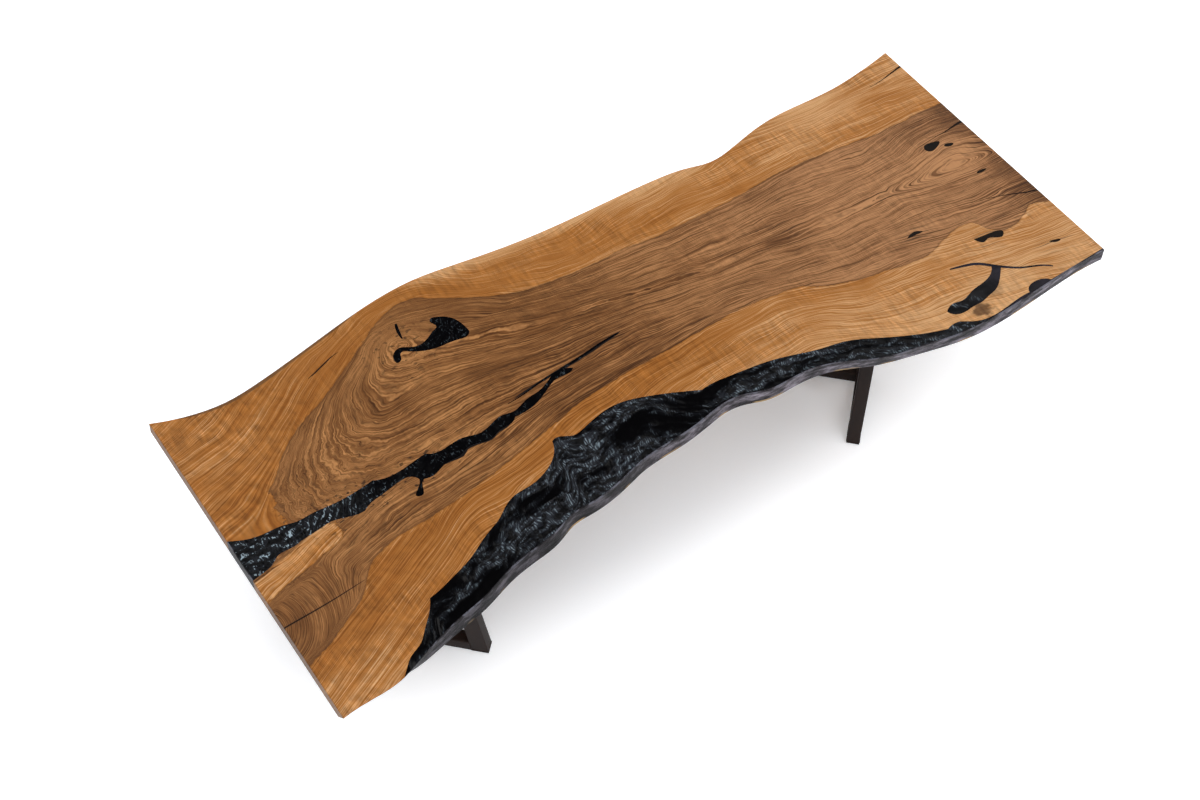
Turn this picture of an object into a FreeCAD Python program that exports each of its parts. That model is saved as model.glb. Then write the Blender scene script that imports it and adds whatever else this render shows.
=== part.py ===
# Live-edge walnut dining table with black cast resin, on two folded steel pedestals.
# Millimetres, +Z up. The origin is on the floor, under the middle of the top.
# +X runs along the top, and -Y is the long side with the resin edge.
import FreeCAD
import Part
import Sketcher
import os

Vector = FreeCAD.Vector

# Driving dimensions: name, value in millimetres, what it measures.
SIZES = [
    ("table_length", 2500, "top, between the two saw cuts"),
    ("table_width", 1090, "top, between the outermost points of the long edges"),
    ("table_height", 750, "floor to the top surface"),
    ("slab_thickness", 45, "top surface to underside"),
    ("edge_break", 2, "small chamfer round the upper and lower rims"),
    ("knot_depth", 30, "resin in the knot, below the top surface"),
    ("branch_depth", 30, "resin in the branch scar, below the top surface"),
    ("pocket_depth", 15, "resin in the small bark pockets"),
    ("check_depth", 10, "resin in the drying checks"),
    ("check_width", 9, "drying check at its widest"),
    ("leg_setback", 412, "end of the top to the spine of a pedestal"),
    ("foot_reach", 262, "spine axis to the toe of a post, along its wing"),
    ("post_setback", 117, "how much nearer the spine a post is at its top"),
    ("post_width", 50, "leaning post, in the plane of its wing"),
    ("tube_depth", 40, "posts and bars across the plane of the wing, and the square spine"),
    ("bar_height", 40, "floor bars and top bars"),
    ("tube_wall", 3, "wall of every tube"),
    ("foot_plate", 5, "plate that closes the foot of a post or spine"),
    ("plate_thickness", 8, "mounting plate"),
    ("plate_length", 250, "mounting plate, along the top"),
    ("plate_width", 320, "mounting plate, across the top"),
    ("plate_setback", 60, "spine axis to the outer edge of the mounting plate"),
    ("bolt_inset", 20, "bolt axis to the edge of the mounting plate"),
    ("bolt_diameter", 8, "mounting bolt shank"),
    ("bolt_tip_gap", 6, "end of the mounting bolt to the upper end of its insert"),
    ("bolt_hole_clearance", 1, "plate hole over the bolt, on the diameter"),
    ("head_height", 5.3, "bolt head"),
    ("head_across_corners", 15, "bolt head"),
    ("washer_diameter", 24, "washer under the bolt head"),
    ("washer_thickness", 2, "washer under the bolt head"),
    ("insert_diameter", 14, "threaded insert in the slab"),
    ("insert_length", 22, "threaded insert, up from the underside"),
    ("insert_clearance", 0.3, "insert bore over the bolt, on the radius"),
    ("glide_height", 5, "levelling glide pad, screwed fully in"),
    ("glide_diameter", 32, "levelling glide pad"),
    ("glide_break", 1.5, "chamfer round the foot of the pad"),
    ("stud_diameter", 10, "levelling glide stud"),
    ("stud_length", 32, "levelling glide stud, above its pad"),
    ("stud_clearance", 0.3, "foot plate bore over the stud, on the radius"),
]

# The long edges of the top, left to right. Each point has its station in thousandths of
# the half length, its offset in thousandths of the half width, and the slope of the
# natural edge there: how far the underside stands out, in thousandths of the thickness.
FAR_EDGE = [
    (-1000, 881, 150), (-920, 820, 240), (-840, 798, 280), (-760, 820, 280), (-640, 877, 220),
    (-520, 939, 150), (-400, 980, 90), (-344, 983, 90), (-240, 956, 120), (-104, 916, 160),
    (48, 899, 180), (280, 892, 180), (360, 870, 160), (416, 840, 160), (488, 861, 160),
    (560, 903, 140), (632, 928, 140), (800, 928, 140), (880, 947, 100), (1000, 1000, 0),
]
NEAR_EDGE = [
    (-1000, -1000, -800), (-945, -988, -790), (-880, -980, -760), (-816, -929, -200),
    (-760, -881, 60), (-696, -840, 160), (-640, -811, 160), (-576, -756, 200), (-512, -723, 220),
    (-440, -692, 220), (-396, -657, 160), (-340, -650, 120), (-240, -604, 160), (-200, -580, 140),
    (-96, -560, 120), (-24, -536, 100), (40, -517, 60), (80, -532, 40), (120, -565, 40),
    (192, -574, 20), (256, -589, -40), (304, -629, -150), (372, -706, -250), (416, -739, -250),
    (488, -771, -150), (568, -807, -80), (640, -817, 0), (800, -800, 0), (1000, -782, 0),
]

# Resin outlines on the top, in the same thousandths. Each run is one smooth curve, and
# two runs meet at a corner. Those that leave the slab run a little past its edge.
FRONT_RESIN = [
    [(-886, -1010), (-852, -944), (-827, -892), (-801, -864), (-779, -815), (-758, -765),
     (-744, -727), (-733, -684)],
    [(-733, -684), (-709, -673), (-671, -646), (-614, -598), (-587, -563), (-550, -521),
     (-524, -495), (-496, -450), (-465, -420), (-422, -413), (-394, -396), (-360, -356),
     (-342, -317), (-329, -255)],
    [(-329, -255), (-310, -250), (-286, -279), (-255, -272), (-220, -250), (-169, -237),
     (-138, -248), (-98, -279), (-36, -341), (8, -392)],
    [(8, -392), (44, -387), (86, -398), (168, -424), (230, -463), (286, -503), (343, -532),
     (379, -567), (419, -617), (476, -683), (523, -728), (553, -750)],
    [(553, -750), (570, -741), (588, -746), (609, -776), (636, -801), (720, -796), (772, -790)],
    [(772, -790), (780, -764), (800, -750), (822, -757), (838, -786)],
    [(838, -786), (920, -779), (1010, -770)],
    [(1010, -770), (1010, -1100)],
    [(1010, -1100), (-886, -1100)],
    [(-886, -1100), (-886, -1010)],
]
RIVER = [
    [(-1012, 92), (-997, 75), (-964, 39), (-928, 24), (-890, 18), (-862, 2), (-829, 4),
     (-790, -2), (-753, -4), (-721, 2), (-687, 13)],
    [(-687, 13), (-652, -11), (-603, -2), (-563, 11)],
    [(-563, 11), (-534, -13), (-504, -6), (-477, -6), (-441, -26), (-407, -7), (-380, 6),
     (-355, -4), (-314, 24), (-283, 33), (-250, 62), (-230, 84), (-206, 84), (-186, 64)],
    [(-186, 64), (-190, 55), (-228, 50), (-254, 31), (-285, -7), (-315, -31), (-358, -35)],
    [(-358, -35), (-374, -59), (-403, -62), (-429, -84), (-458, -73), (-484, -68), (-502, -86),
     (-540, -90), (-569, -114), (-596, -112)],
    [(-596, -112), (-610, -149), (-621, -186), (-631, -178), (-617, -136), (-608, -88)],
    [(-608, -88), (-620, -64), (-646, -62), (-677, -77), (-714, -92), (-736, -117)],
    [(-736, -117), (-774, -103), (-806, -84), (-835, -92), (-866, -99), (-900, -112),
     (-932, -116), (-952, -147), (-970, -160), (-996, -171), (-1012, -180)],
    [(-1012, -180), (-1012, 92)],
]
KNOT = [
    [(-366, 714), (-344, 692), (-326, 648), (-318, 589), (-316, 540)],
    [(-316, 540), (-328, 516), (-354, 524), (-382, 530), (-408, 538), (-435, 561), (-462, 604)],
    [(-462, 604), (-474, 591), (-480, 562), (-490, 556), (-492, 585), (-479, 626), (-466, 633),
     (-450, 615), (-427, 596), (-404, 609), (-383, 637)],
    [(-383, 637), (-370, 668), (-374, 690), (-366, 714)],
]
BRANCH_SCAR = [
    [(583, -662), (593, -646), (612, -637), (630, -646), (666, -626), (703, -613), (734, -591),
     (753, -548)],
    [(753, -548), (770, -580)],
    [(770, -580), (742, -642), (717, -681), (688, -697), (666, -708), (639, -708), (611, -712),
     (588, -688), (583, -662)],
]
BARK_POCKETS = [
    [(870, 306), (892, 306), (910, 288), (894, 262), (869, 259), (864, 284)],
    [(911, 250), (926, 251), (934, 237), (920, 229)],
    [(916, -3), (931, 4), (944, -4), (929, -14)],
    [(649, -166), (663, -153), (679, -152), (692, -172), (670, -172)],
    [(774, -360), (796, -366), (844, -405), (834, -424), (801, -396), (784, -402)],
    [(912, -584), (926, -590), (938, -604), (922, -606)],
]

# Narrow fills follow a centre line. The third number is the width there, in hundredths of
# the widest check.
RIVER_HAIR = [(-352, 50, 25), (-325, 53, 35), (-253, 79, 50), (-206, 87, 60), (-142, 105, 75),
              (-98, 119, 70), (-52, 124, 45)]
BRANCH_TAIL = [(668, -452, 55), (705, -475, 95), (734, -505, 110), (757, -555, 110), (774, -589, 95),
               (808, -645, 75), (845, -683, 65), (868, -723, 50)]
KNOT_SLIT = [(-439, 776, 70), (-444, 740, 100), (-448, 676, 35)]
DRYING_CHECKS = [
    [(1012, 868, 75), (966, 850, 55), (936, 836, 35), (890, 826, 15)],
    [(1012, 338, 100), (975, 338, 75), (949, 330, 45), (889, 350, 15)],
    [(1012, -277, 45), (966, -250, 50), (931, -215, 35), (902, -191, 25), (840, -154, 12)],
    [(-1012, -466, 20), (-898, -457, 20), (-817, -442, 10)],
    [(-669, 708, 12), (-640, 730, 55), (-612, 756, 45), (-582, 774, 12)],
]
THOUSANDTH = 0.001
HUNDREDTH = 0.01

# The two pedestals: the side of the table that each is on, and the turn of its wings. A
# wing stands at half a right angle to the length of the top, so that the two wings of a
# pedestal meet the flat sides of its spine.
PEDESTALS = [("left", -1, {"near": -45, "far": 45}), ("right", 1, {"near": 225, "far": 135})]

# Heights and lengths that several pieces share, as sums of the driving dimensions.
STEEL_Z = "Sizes.glide_height"
TUBE_Z = "(Sizes.glide_height + Sizes.foot_plate)"
UNDERSIDE_Z = "(Sizes.table_height - Sizes.slab_thickness)"
PLATE_Z = f"({UNDERSIDE_Z} - Sizes.plate_thickness)"
WASHER_Z = f"({PLATE_Z} - Sizes.washer_thickness)"
HEAD_Z = f"({WASHER_Z} - Sizes.head_height)"
BAR_TOP_Z = f"({STEEL_Z} + Sizes.bar_height)"
TOP_BAR_Z = f"({PLATE_Z} - Sizes.bar_height)"
SPINE_FACE = "Sizes.tube_depth / 2"
LEAN = f"(Sizes.post_setback / ({PLATE_Z} - {STEEL_Z}))"
STRETCH = f"sqrt(1 + {LEAN} ^ 2)"
BORE_SIDE = "(Sizes.tube_depth - 2 * Sizes.tube_wall)"
THROUGH_FOOT = f"(4 * {TUBE_Z})"
BOLT_LENGTH = ("(Sizes.washer_thickness + Sizes.plate_thickness + Sizes.insert_length"
               " - Sizes.bolt_tip_gap)")


def outer_face(height):
    return f"(Sizes.foot_reach - {LEAN} * ({height} - {STEEL_Z}))"


def inner_face(height):
    return f"({outer_face(height)} - Sizes.post_width * {STRETCH})"


FOOT_CENTRE = f"({outer_face(STEEL_Z)} + {inner_face(STEEL_Z)}) / 2"


def fill_sheet(sheet):
    for row, (name, value, meaning) in enumerate(SIZES, start=1):
        sheet.set(f"A{row}", meaning)
        sheet.set(f"B{row}", str(value))
        sheet.setAlias(f"B{row}", name)


doc = FreeCAD.newDocument("dining_table")
sizes = doc.addObject("Spreadsheet::Sheet", "Sizes")
fill_sheet(sizes)
doc.recompute()
sub_parts = []


def size(name):
    return float(sizes.get(name))


def keep(piece, label):
    piece.Label = label
    sub_parts.append(piece)
    return piece


def bind(piece, expressions):
    for name, expression in expressions.items():
        piece.setExpression(name, expression)


def origin_plane(body, role):
    return [feature for feature in body.Origin.OriginFeatures if feature.Role == role][0]


def open_sketch(body, name, role):
    sketch = body.newObject("Sketcher::SketchObject", name)
    sketch.AttachmentSupport = (origin_plane(body, role), [""])
    sketch.MapMode = "FlatFace"
    return sketch


def add_polygon(sketch, corners):
    """Add a closed polygon whose corners are held at (across, up) expressions."""
    first = sketch.GeometryCount
    places = [[float(sizes.evalExpression(term)) for term in corner] for corner in corners]
    count = len(corners)
    for index in range(count):
        start = Vector(*places[index], 0)
        end = Vector(*places[(index + 1) % count], 0)
        sketch.addGeometry(Part.LineSegment(start, end))
    for index in range(count):
        following = first + (index + 1) % count
        sketch.addConstraint(Sketcher.Constraint("Coincident", first + index, 2, following, 1))
    for index, (across, up) in enumerate(corners):
        hold(sketch, "DistanceX", first + index, 1, across)
        hold(sketch, "DistanceY", first + index, 1, up)


def hold(sketch, kind, geometry, point, expression):
    """Fix one coordinate of a sketch point to an expression, measured from the origin."""
    value = float(sizes.evalExpression(expression))
    number = sketch.addConstraint(Sketcher.Constraint(kind, -1, 1, geometry, point, value))
    sketch.setExpression(f"Constraints[{number}]", expression)


def add_circle(sketch, across, up, diameter):
    centre = [float(sizes.evalExpression(term)) for term in (across, up)]
    radius = float(sizes.evalExpression(diameter)) / 2
    circle = sketch.addGeometry(Part.Circle(Vector(*centre, 0), Vector(0, 0, 1), radius))
    hold(sketch, "DistanceX", circle, 3, across)
    hold(sketch, "DistanceY", circle, 3, up)
    number = sketch.addConstraint(Sketcher.Constraint("Diameter", circle, 2 * radius))
    sketch.setExpression(f"Constraints[{number}]", diameter)


def grow(body, kind, name, sketch, length, sides="One side"):
    feature = body.newObject(f"PartDesign::{kind}", name)
    feature.Profile = sketch
    feature.SideType = sides
    feature.setExpression("Length", length)
    return feature


def wing_plate(label, corners, depth, bore=None):
    """A flat-sided piece in the plane of a wing, with an optional hollow of its own."""
    body = doc.addObject("PartDesign::Body", label)
    outline = open_sketch(body, f"{label}_outline", "XZ_Plane")
    add_polygon(outline, corners)
    grow(body, "Pad", f"{label}_pad", outline, depth, "Symmetric")
    if bore:
        doc.recompute()
        hollow = open_sketch(body, f"{label}_hollow", "XZ_Plane")
        add_polygon(hollow, bore)
        grow(body, "Pocket", f"{label}_bore", hollow, BORE_SIDE, "Symmetric")
    return body


def pedestal_x(side):
    return f"{side} * (Sizes.table_length / 2 - Sizes.leg_setback)"


def stand(piece, side, turn, along="0", height="0"):
    """Put a piece on a pedestal: turned about the spine, and moved out along its wing."""
    piece.Placement.Rotation = FreeCAD.Rotation(Vector(0, 0, 1), turn)
    bind(piece, {
        "Placement.Base.x": f"{pedestal_x(side)} + ({along}) * cos({turn} deg)",
        "Placement.Base.y": f"({along}) * sin({turn} deg)",
        "Placement.Base.z": height,
    })


def make_post(label):
    wall = f"Sizes.tube_wall * {STRETCH}"
    low, high = TUBE_Z, PLATE_Z
    corners = [(inner_face(low), low), (outer_face(low), low),
               (outer_face(high), high), (inner_face(high), high)]
    bore = [(f"{inner_face(low)} + {wall}", low), (f"{outer_face(low)} - {wall}", low),
            (f"{outer_face(high)} - {wall}", high), (f"{inner_face(high)} + {wall}", high)]
    return wing_plate(label, corners, "Sizes.tube_depth", bore)


def make_bar(label, low, high):
    """A level tube between the spine and the post, cut to the lean of the post."""
    bore_low, bore_high = f"({low} + Sizes.tube_wall)", f"({high} - Sizes.tube_wall)"

    def between(bottom, top):
        return [(SPINE_FACE, bottom), (inner_face(bottom), bottom),
                (inner_face(top), top), (SPINE_FACE, top)]

    return wing_plate(label, between(low, high), "Sizes.tube_depth", between(bore_low, bore_high))


def bore_for_stud(body, label, across):
    doc.recompute()
    sketch = open_sketch(body, f"{label}_hole", "XY_Plane")
    add_circle(sketch, across, "0", "Sizes.stud_diameter + 2 * Sizes.stud_clearance")
    grow(body, "Pocket", f"{label}_thread", sketch, THROUGH_FOOT, "Symmetric")


def make_post_foot(label):
    corners = [(inner_face(STEEL_Z), STEEL_Z), (outer_face(STEEL_Z), STEEL_Z),
               (outer_face(TUBE_Z), TUBE_Z), (inner_face(TUBE_Z), TUBE_Z)]
    body = wing_plate(label, corners, "Sizes.tube_depth")
    bore_for_stud(body, label, FOOT_CENTRE)
    return body


def make_spine_foot(label):
    corners = [(f"-{SPINE_FACE}", STEEL_Z), (SPINE_FACE, STEEL_Z),
               (SPINE_FACE, TUBE_Z), (f"-{SPINE_FACE}", TUBE_Z)]
    body = wing_plate(label, corners, "Sizes.tube_depth")
    bore_for_stud(body, label, "0")
    return body


def square(side):
    return [(f"-({side}) / 2", f"-({side}) / 2"), (f"({side}) / 2", f"-({side}) / 2"),
            (f"({side}) / 2", f"({side}) / 2"), (f"-({side}) / 2", f"({side}) / 2")]


def make_spine(label):
    body = doc.addObject("PartDesign::Body", label)
    section = open_sketch(body, f"{label}_section", "XY_Plane")
    add_polygon(section, square("Sizes.tube_depth"))
    add_polygon(section, square(BORE_SIDE))
    grow(body, "Pad", f"{label}_pad", section, f"{PLATE_Z} - {TUBE_Z}")
    return body


# Bolt places on a mounting plate, from the spine: three rows towards the middle of the
# table, on both sides of the centre line.
BOLT_ROWS = ["(Sizes.bolt_inset - Sizes.plate_setback)",
             "(Sizes.plate_length / 2 - Sizes.plate_setback)",
             "(Sizes.plate_length - Sizes.bolt_inset - Sizes.plate_setback)"]
BOLT_COLUMNS = [f"({sign} * (Sizes.plate_width / 2 - Sizes.bolt_inset))" for sign in (-1, 1)]
BOLT_PLACES = [(row, column) for row in BOLT_ROWS for column in BOLT_COLUMNS]


def make_mounting_plate(label):
    body = doc.addObject("PartDesign::Body", label)
    outline = open_sketch(body, f"{label}_outline", "XY_Plane")
    outer, inner = "-Sizes.plate_setback", "Sizes.plate_length - Sizes.plate_setback"
    left, right = "-Sizes.plate_width / 2", "Sizes.plate_width / 2"
    add_polygon(outline, [(outer, left), (inner, left), (inner, right), (outer, right)])
    for row, column in BOLT_PLACES:
        add_circle(outline, row, column, "Sizes.bolt_diameter + Sizes.bolt_hole_clearance")
    grow(body, "Pad", f"{label}_pad", outline, "Sizes.plate_thickness")
    return body


def make_glide(label):
    """A round pad with a stud, turned about its own upright axis."""
    body = doc.addObject("PartDesign::Body", label)
    half = open_sketch(body, f"{label}_half", "XZ_Plane")
    rim, stud = "Sizes.glide_diameter / 2", "Sizes.stud_diameter / 2"
    tip = "Sizes.glide_height + Sizes.stud_length"
    add_polygon(half, [
        ("0", "0"), (f"{rim} - Sizes.glide_break", "0"), (rim, "Sizes.glide_break"),
        (rim, "Sizes.glide_height"), (stud, "Sizes.glide_height"), (stud, tip), ("0", tip),
    ])
    turned = body.newObject("PartDesign::Revolution", f"{label}_turned")
    turned.Profile = half
    turned.ReferenceAxis = (half, ["V_Axis"])
    turned.Angle = 360
    return body


def cylinder(label, diameter, height):
    piece = doc.addObject("Part::Cylinder", label)
    bind(piece, {"Radius": f"({diameter}) / 2", "Height": height})
    return piece


def ring(label, outer, inner, height):
    piece = doc.addObject("Part::Cut", label)
    piece.Base = cylinder(f"{label}_outer", outer, height)
    piece.Tool = cylinder(f"{label}_inner", inner, height)
    return piece


def make_bolt(label):
    head = doc.addObject("Part::Prism", f"{label}_head")
    head.Polygon = 6
    bind(head, {"Circumradius": "Sizes.head_across_corners / 2", "Height": "Sizes.head_height"})
    shank = cylinder(f"{label}_shank", "Sizes.bolt_diameter", BOLT_LENGTH)
    shank.setExpression("Placement.Base.z", "Sizes.head_height")
    bolt = doc.addObject("Part::Fuse", label)
    bolt.Base = head
    bolt.Tool = shank
    return bolt


def make_washer(label):
    hole = "Sizes.bolt_diameter + Sizes.bolt_hole_clearance"
    return ring(label, "Sizes.washer_diameter", hole, "Sizes.washer_thickness")


def make_insert(label):
    bore = "Sizes.bolt_diameter + 2 * Sizes.insert_clearance"
    return ring(label, "Sizes.insert_diameter", bore, "Sizes.insert_length")


def at_bolts(label, side, make, height):
    """One fastener of a kind at every bolt of a pedestal, kept together as a group."""
    copies = []
    for number, (row, column) in enumerate(BOLT_PLACES, start=1):
        piece = make(f"{label}_{number}")
        bind(piece, {
            "Placement.Base.x": f"{pedestal_x(side)} - {side} * {row}",
            "Placement.Base.y": column,
            "Placement.Base.z": height,
        })
        copies.append(piece)
    group = doc.addObject("Part::Compound", label)
    group.Links = copies
    keep(group, label)


def make_wing(prefix, side, turn):
    post = keep(make_post(f"{prefix}_post"), f"{prefix}_post")
    floor_bar = keep(make_bar(f"{prefix}_floor_bar", STEEL_Z, BAR_TOP_Z), f"{prefix}_floor_bar")
    top_bar = keep(make_bar(f"{prefix}_top_bar", TOP_BAR_Z, PLATE_Z), f"{prefix}_top_bar")
    foot = keep(make_post_foot(f"{prefix}_foot_plate"), f"{prefix}_foot_plate")
    for piece in (post, floor_bar, top_bar, foot):
        stand(piece, side, turn)
    glide = keep(make_glide(f"{prefix}_glide"), f"{prefix}_glide")
    stand(glide, side, turn, along=FOOT_CENTRE)


def make_pedestal(name, side, wings):
    inward = 0 if side < 0 else 180
    for wing, turn in wings.items():
        make_wing(f"{name}_{wing}", side, turn)
    spine = keep(make_spine(f"{name}_spine"), f"{name}_spine")
    stand(spine, side, wings["near"], height=TUBE_Z)
    foot = keep(make_spine_foot(f"{name}_spine_foot_plate"), f"{name}_spine_foot_plate")
    stand(foot, side, wings["near"])
    glide = keep(make_glide(f"{name}_spine_glide"), f"{name}_spine_glide")
    stand(glide, side, wings["near"])
    plate = keep(make_mounting_plate(f"{name}_mounting_plate"), f"{name}_mounting_plate")
    stand(plate, side, inward, height=PLATE_Z)
    at_bolts(f"{name}_mounting_bolts", side, make_bolt, HEAD_Z)
    at_bolts(f"{name}_bolt_washers", side, make_washer, WASHER_Z)
    at_bolts(f"{name}_threaded_inserts", side, make_insert, UNDERSIDE_Z)


def on_top(station, offset, inset=0):
    """A point on the top, from thousandths of its half length and half width."""
    half_length = size("table_length") / 2 - inset
    half_width = size("table_width") / 2
    return Vector(station * THOUSANDTH * half_length, offset * THOUSANDTH * half_width, 0)


def smooth(points):
    if len(points) == 2:
        return Part.LineSegment(*points).toShape()
    curve = Part.BSplineCurve()
    curve.interpolate(Points=points)
    return curve.toShape()


def rim_edge(edge, outward, height, inset):
    """One long edge of the top at a height below its surface."""
    points = []
    depth = size("table_height") - height
    for station, offset, slope in edge:
        point = on_top(station, offset, inset)
        point.y += outward * (slope * THOUSANDTH * depth - inset)
        point.z = height
        points.append(point)
    return points


def rim(height, inset):
    near = rim_edge(NEAR_EDGE, -1, height, inset)
    far = rim_edge(FAR_EDGE, 1, height, inset)
    return Part.Wire([smooth(near), smooth([near[-1], far[-1]]),
                      smooth(far[::-1]), smooth([far[0], near[0]])])


def slab_blank():
    """The whole top, wood and resin together, with both rims eased."""
    top = size("table_height")
    bottom = top - size("slab_thickness")
    ease = size("edge_break")
    rims = [rim(bottom, ease), rim(bottom + ease, 0), rim(top - ease, 0), rim(top, ease)]
    return Part.makeLoft(rims, True, True)


def upright(wire, depth):
    """A prism that hangs from the top surface to a depth."""
    face = Part.Face(wire)
    prism = face.extrude(Vector(0, 0, -depth))
    prism.translate(Vector(0, 0, size("table_height")))
    return prism


def runs_wire(runs):
    return Part.Wire([smooth([on_top(*point) for point in run]) for run in runs])


def pocket_wire(points):
    curve = Part.BSplineCurve()
    curve.interpolate(Points=[on_top(*point) for point in points], PeriodicFlag=True)
    return Part.Wire(curve.toShape())


def ribbon_wire(stations):
    """A narrow band on both sides of a centre line, with the width given at each point."""
    centres = [on_top(station, offset) for station, offset, width in stations]
    halves = [size("check_width") * width * HUNDREDTH / 2 for station, offset, width in stations]
    left, right = [], []
    for index, (centre, half) in enumerate(zip(centres, halves)):
        before = centres[max(index - 1, 0)]
        after = centres[min(index + 1, len(centres) - 1)]
        along = (after - before).normalize()
        across = Vector(-along.y, along.x, 0) * half
        left.append(centre + across)
        right.append(centre - across)
    return Part.Wire([smooth(left), smooth([left[-1], right[-1]]),
                      smooth(right[::-1]), smooth([right[0], left[0]])])


def add_feature(label, shape):
    piece = doc.addObject("Part::Feature", label)
    piece.Shape = shape
    piece.Placement = FreeCAD.Placement()
    keep(piece, label)


def one_shape(prisms):
    return prisms[0].fuse(prisms[1:]).removeSplitter() if len(prisms) > 1 else prisms[0]


def insert_sockets():
    sockets = []
    for piece in sub_parts:
        if piece.Label.endswith("_threaded_inserts"):
            for solid in piece.Shape.Solids:
                box = solid.BoundBox
                foot = Vector(box.Center.x, box.Center.y, box.ZMin)
                sockets.append(Part.makeCylinder(size("insert_diameter") / 2, box.ZLength, foot))
    return sockets


def make_top():
    blank = slab_blank().cut(insert_sockets())
    through = size("slab_thickness")
    fills = {
        "front_edge_resin": [upright(runs_wire(FRONT_RESIN), through)],
        "river_resin": [upright(runs_wire(RIVER), through), upright(ribbon_wire(RIVER_HAIR), through)],
        "knot_resin": [upright(runs_wire(KNOT), size("knot_depth"))],
        "knot_slit_resin": [upright(ribbon_wire(KNOT_SLIT), size("pocket_depth"))],
        "branch_scar_resin": [upright(runs_wire(BRANCH_SCAR), size("branch_depth")),
                              upright(ribbon_wire(BRANCH_TAIL), size("branch_depth"))],
    }
    pockets = [upright(pocket_wire(points), size("pocket_depth")) for points in BARK_POCKETS]
    checks = [upright(ribbon_wire(stations), size("check_depth")) for stations in DRYING_CHECKS]
    cutters = []
    for label, prisms in fills.items():
        cutter = one_shape(prisms)
        cutters.append(cutter)
        add_feature(label, blank.common(cutter))
    add_feature("bark_pocket_fills", Part.makeCompound([blank.common(pocket) for pocket in pockets]))
    add_feature("drying_check_fills", Part.makeCompound([blank.common(check) for check in checks]))
    add_feature("walnut_slab", blank.cut(cutters + pockets + checks))


def report_faults():
    faults = []
    for piece in doc.Objects:
        if "Invalid" in piece.State or "Error" in piece.State:
            faults.append(f"{piece.Label}: {piece.State}")
    for piece in sub_parts:
        if piece.Shape.isNull() or not piece.Shape.isValid() or not piece.Shape.Solids:
            faults.append(f"{piece.Label}: no valid solid")
    return faults


for pedestal in PEDESTALS:
    make_pedestal(*pedestal)
doc.recompute()
make_top()
doc.recompute()
faults = report_faults()
if faults:
    raise RuntimeError("; ".join(faults))
os.makedirs("parts", exist_ok=True)
for piece in sub_parts:
    piece.Shape.exportStep(f"parts/{piece.Label}.step")
    print(piece.Label, len(piece.Shape.Solids), "solid(s)", round(piece.Shape.Volume), "mm3")
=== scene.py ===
# %% [markdown]
# # A live-edge walnut table with a black resin edge
# The construction of this table is fixed already: the frame holds every piece at its real size.
# This lesson gives the pieces their finishes, rounds off the steelwork and the hardware, and
# sets the camera and the light. Everything is in metres, with the floor at zero height.

# %% Load the frame
import math
import bmesh
import bpy
from mathutils import Matrix, Vector


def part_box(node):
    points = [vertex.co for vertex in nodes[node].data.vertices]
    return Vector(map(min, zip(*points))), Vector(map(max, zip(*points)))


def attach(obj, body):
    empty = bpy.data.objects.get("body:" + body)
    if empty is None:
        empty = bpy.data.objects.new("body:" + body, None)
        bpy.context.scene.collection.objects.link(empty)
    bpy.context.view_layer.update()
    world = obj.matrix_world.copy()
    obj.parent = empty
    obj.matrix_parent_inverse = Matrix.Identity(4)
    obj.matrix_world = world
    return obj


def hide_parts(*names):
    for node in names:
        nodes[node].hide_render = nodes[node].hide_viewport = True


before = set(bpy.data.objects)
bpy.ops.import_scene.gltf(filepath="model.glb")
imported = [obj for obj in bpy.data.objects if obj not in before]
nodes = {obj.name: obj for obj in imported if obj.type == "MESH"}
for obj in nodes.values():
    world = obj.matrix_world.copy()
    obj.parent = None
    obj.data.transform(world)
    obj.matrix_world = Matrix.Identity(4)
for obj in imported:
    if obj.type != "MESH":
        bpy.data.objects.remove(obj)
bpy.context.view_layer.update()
slab_low, slab_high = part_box("walnut_slab")
TOP = slab_high.z
HALF_LENGTH = slab_high.x
print(f"{len(nodes)} nodes, the top is {2 * HALF_LENGTH:.2f} m long and {TOP:.2f} m high")

# %% [markdown]
# ## The camera
# The photograph looks down on the table from its near left corner, with a long lens. A camera
# could be aimed with a constraint, but three plain turns say more: round the table, up from the
# horizon, and a small roll of the camera in the hand. The focal length is in pixels of a frame
# that is 1200 pixels wide, so it is scaled to the width of the sensor.

# %% Set the camera
CAMERA_PLACE = (-2.001, -2.613, 4.701)
CAMERA_AZIMUTH = math.radians(-35.07)
CAMERA_ELEVATION = math.radians(52.09)
CAMERA_ROLL = math.radians(1.43)
FOCAL_PIXELS = 1913
FRAME_PIXELS = 1200
SENSOR_WIDTH = 36

scene = bpy.context.scene
lens = bpy.data.cameras.new("camera")
lens.sensor_fit = "HORIZONTAL"
lens.sensor_width = SENSOR_WIDTH
lens.lens = SENSOR_WIDTH * FOCAL_PIXELS / FRAME_PIXELS
camera = bpy.data.objects.new("camera", lens)
aim = (Matrix.Rotation(CAMERA_AZIMUTH, 4, "Z")
       @ Matrix.Rotation(math.pi / 2 - CAMERA_ELEVATION, 4, "X")
       @ Matrix.Rotation(CAMERA_ROLL, 4, "Z"))
camera.matrix_world = Matrix.Translation(CAMERA_PLACE) @ aim
scene.collection.objects.link(camera)
scene.camera = camera
scene.view_settings.view_transform = "Standard"
print(f"camera lens {lens.lens:.1f} mm")

# %% [markdown]
# ## Writing materials as sums
# A node tree is easier to read as a list of steps than as boxes and wires. This helper adds one
# node per step and takes plain numbers and other steps alike, so that a finish can be written
# almost like a sum.


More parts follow.
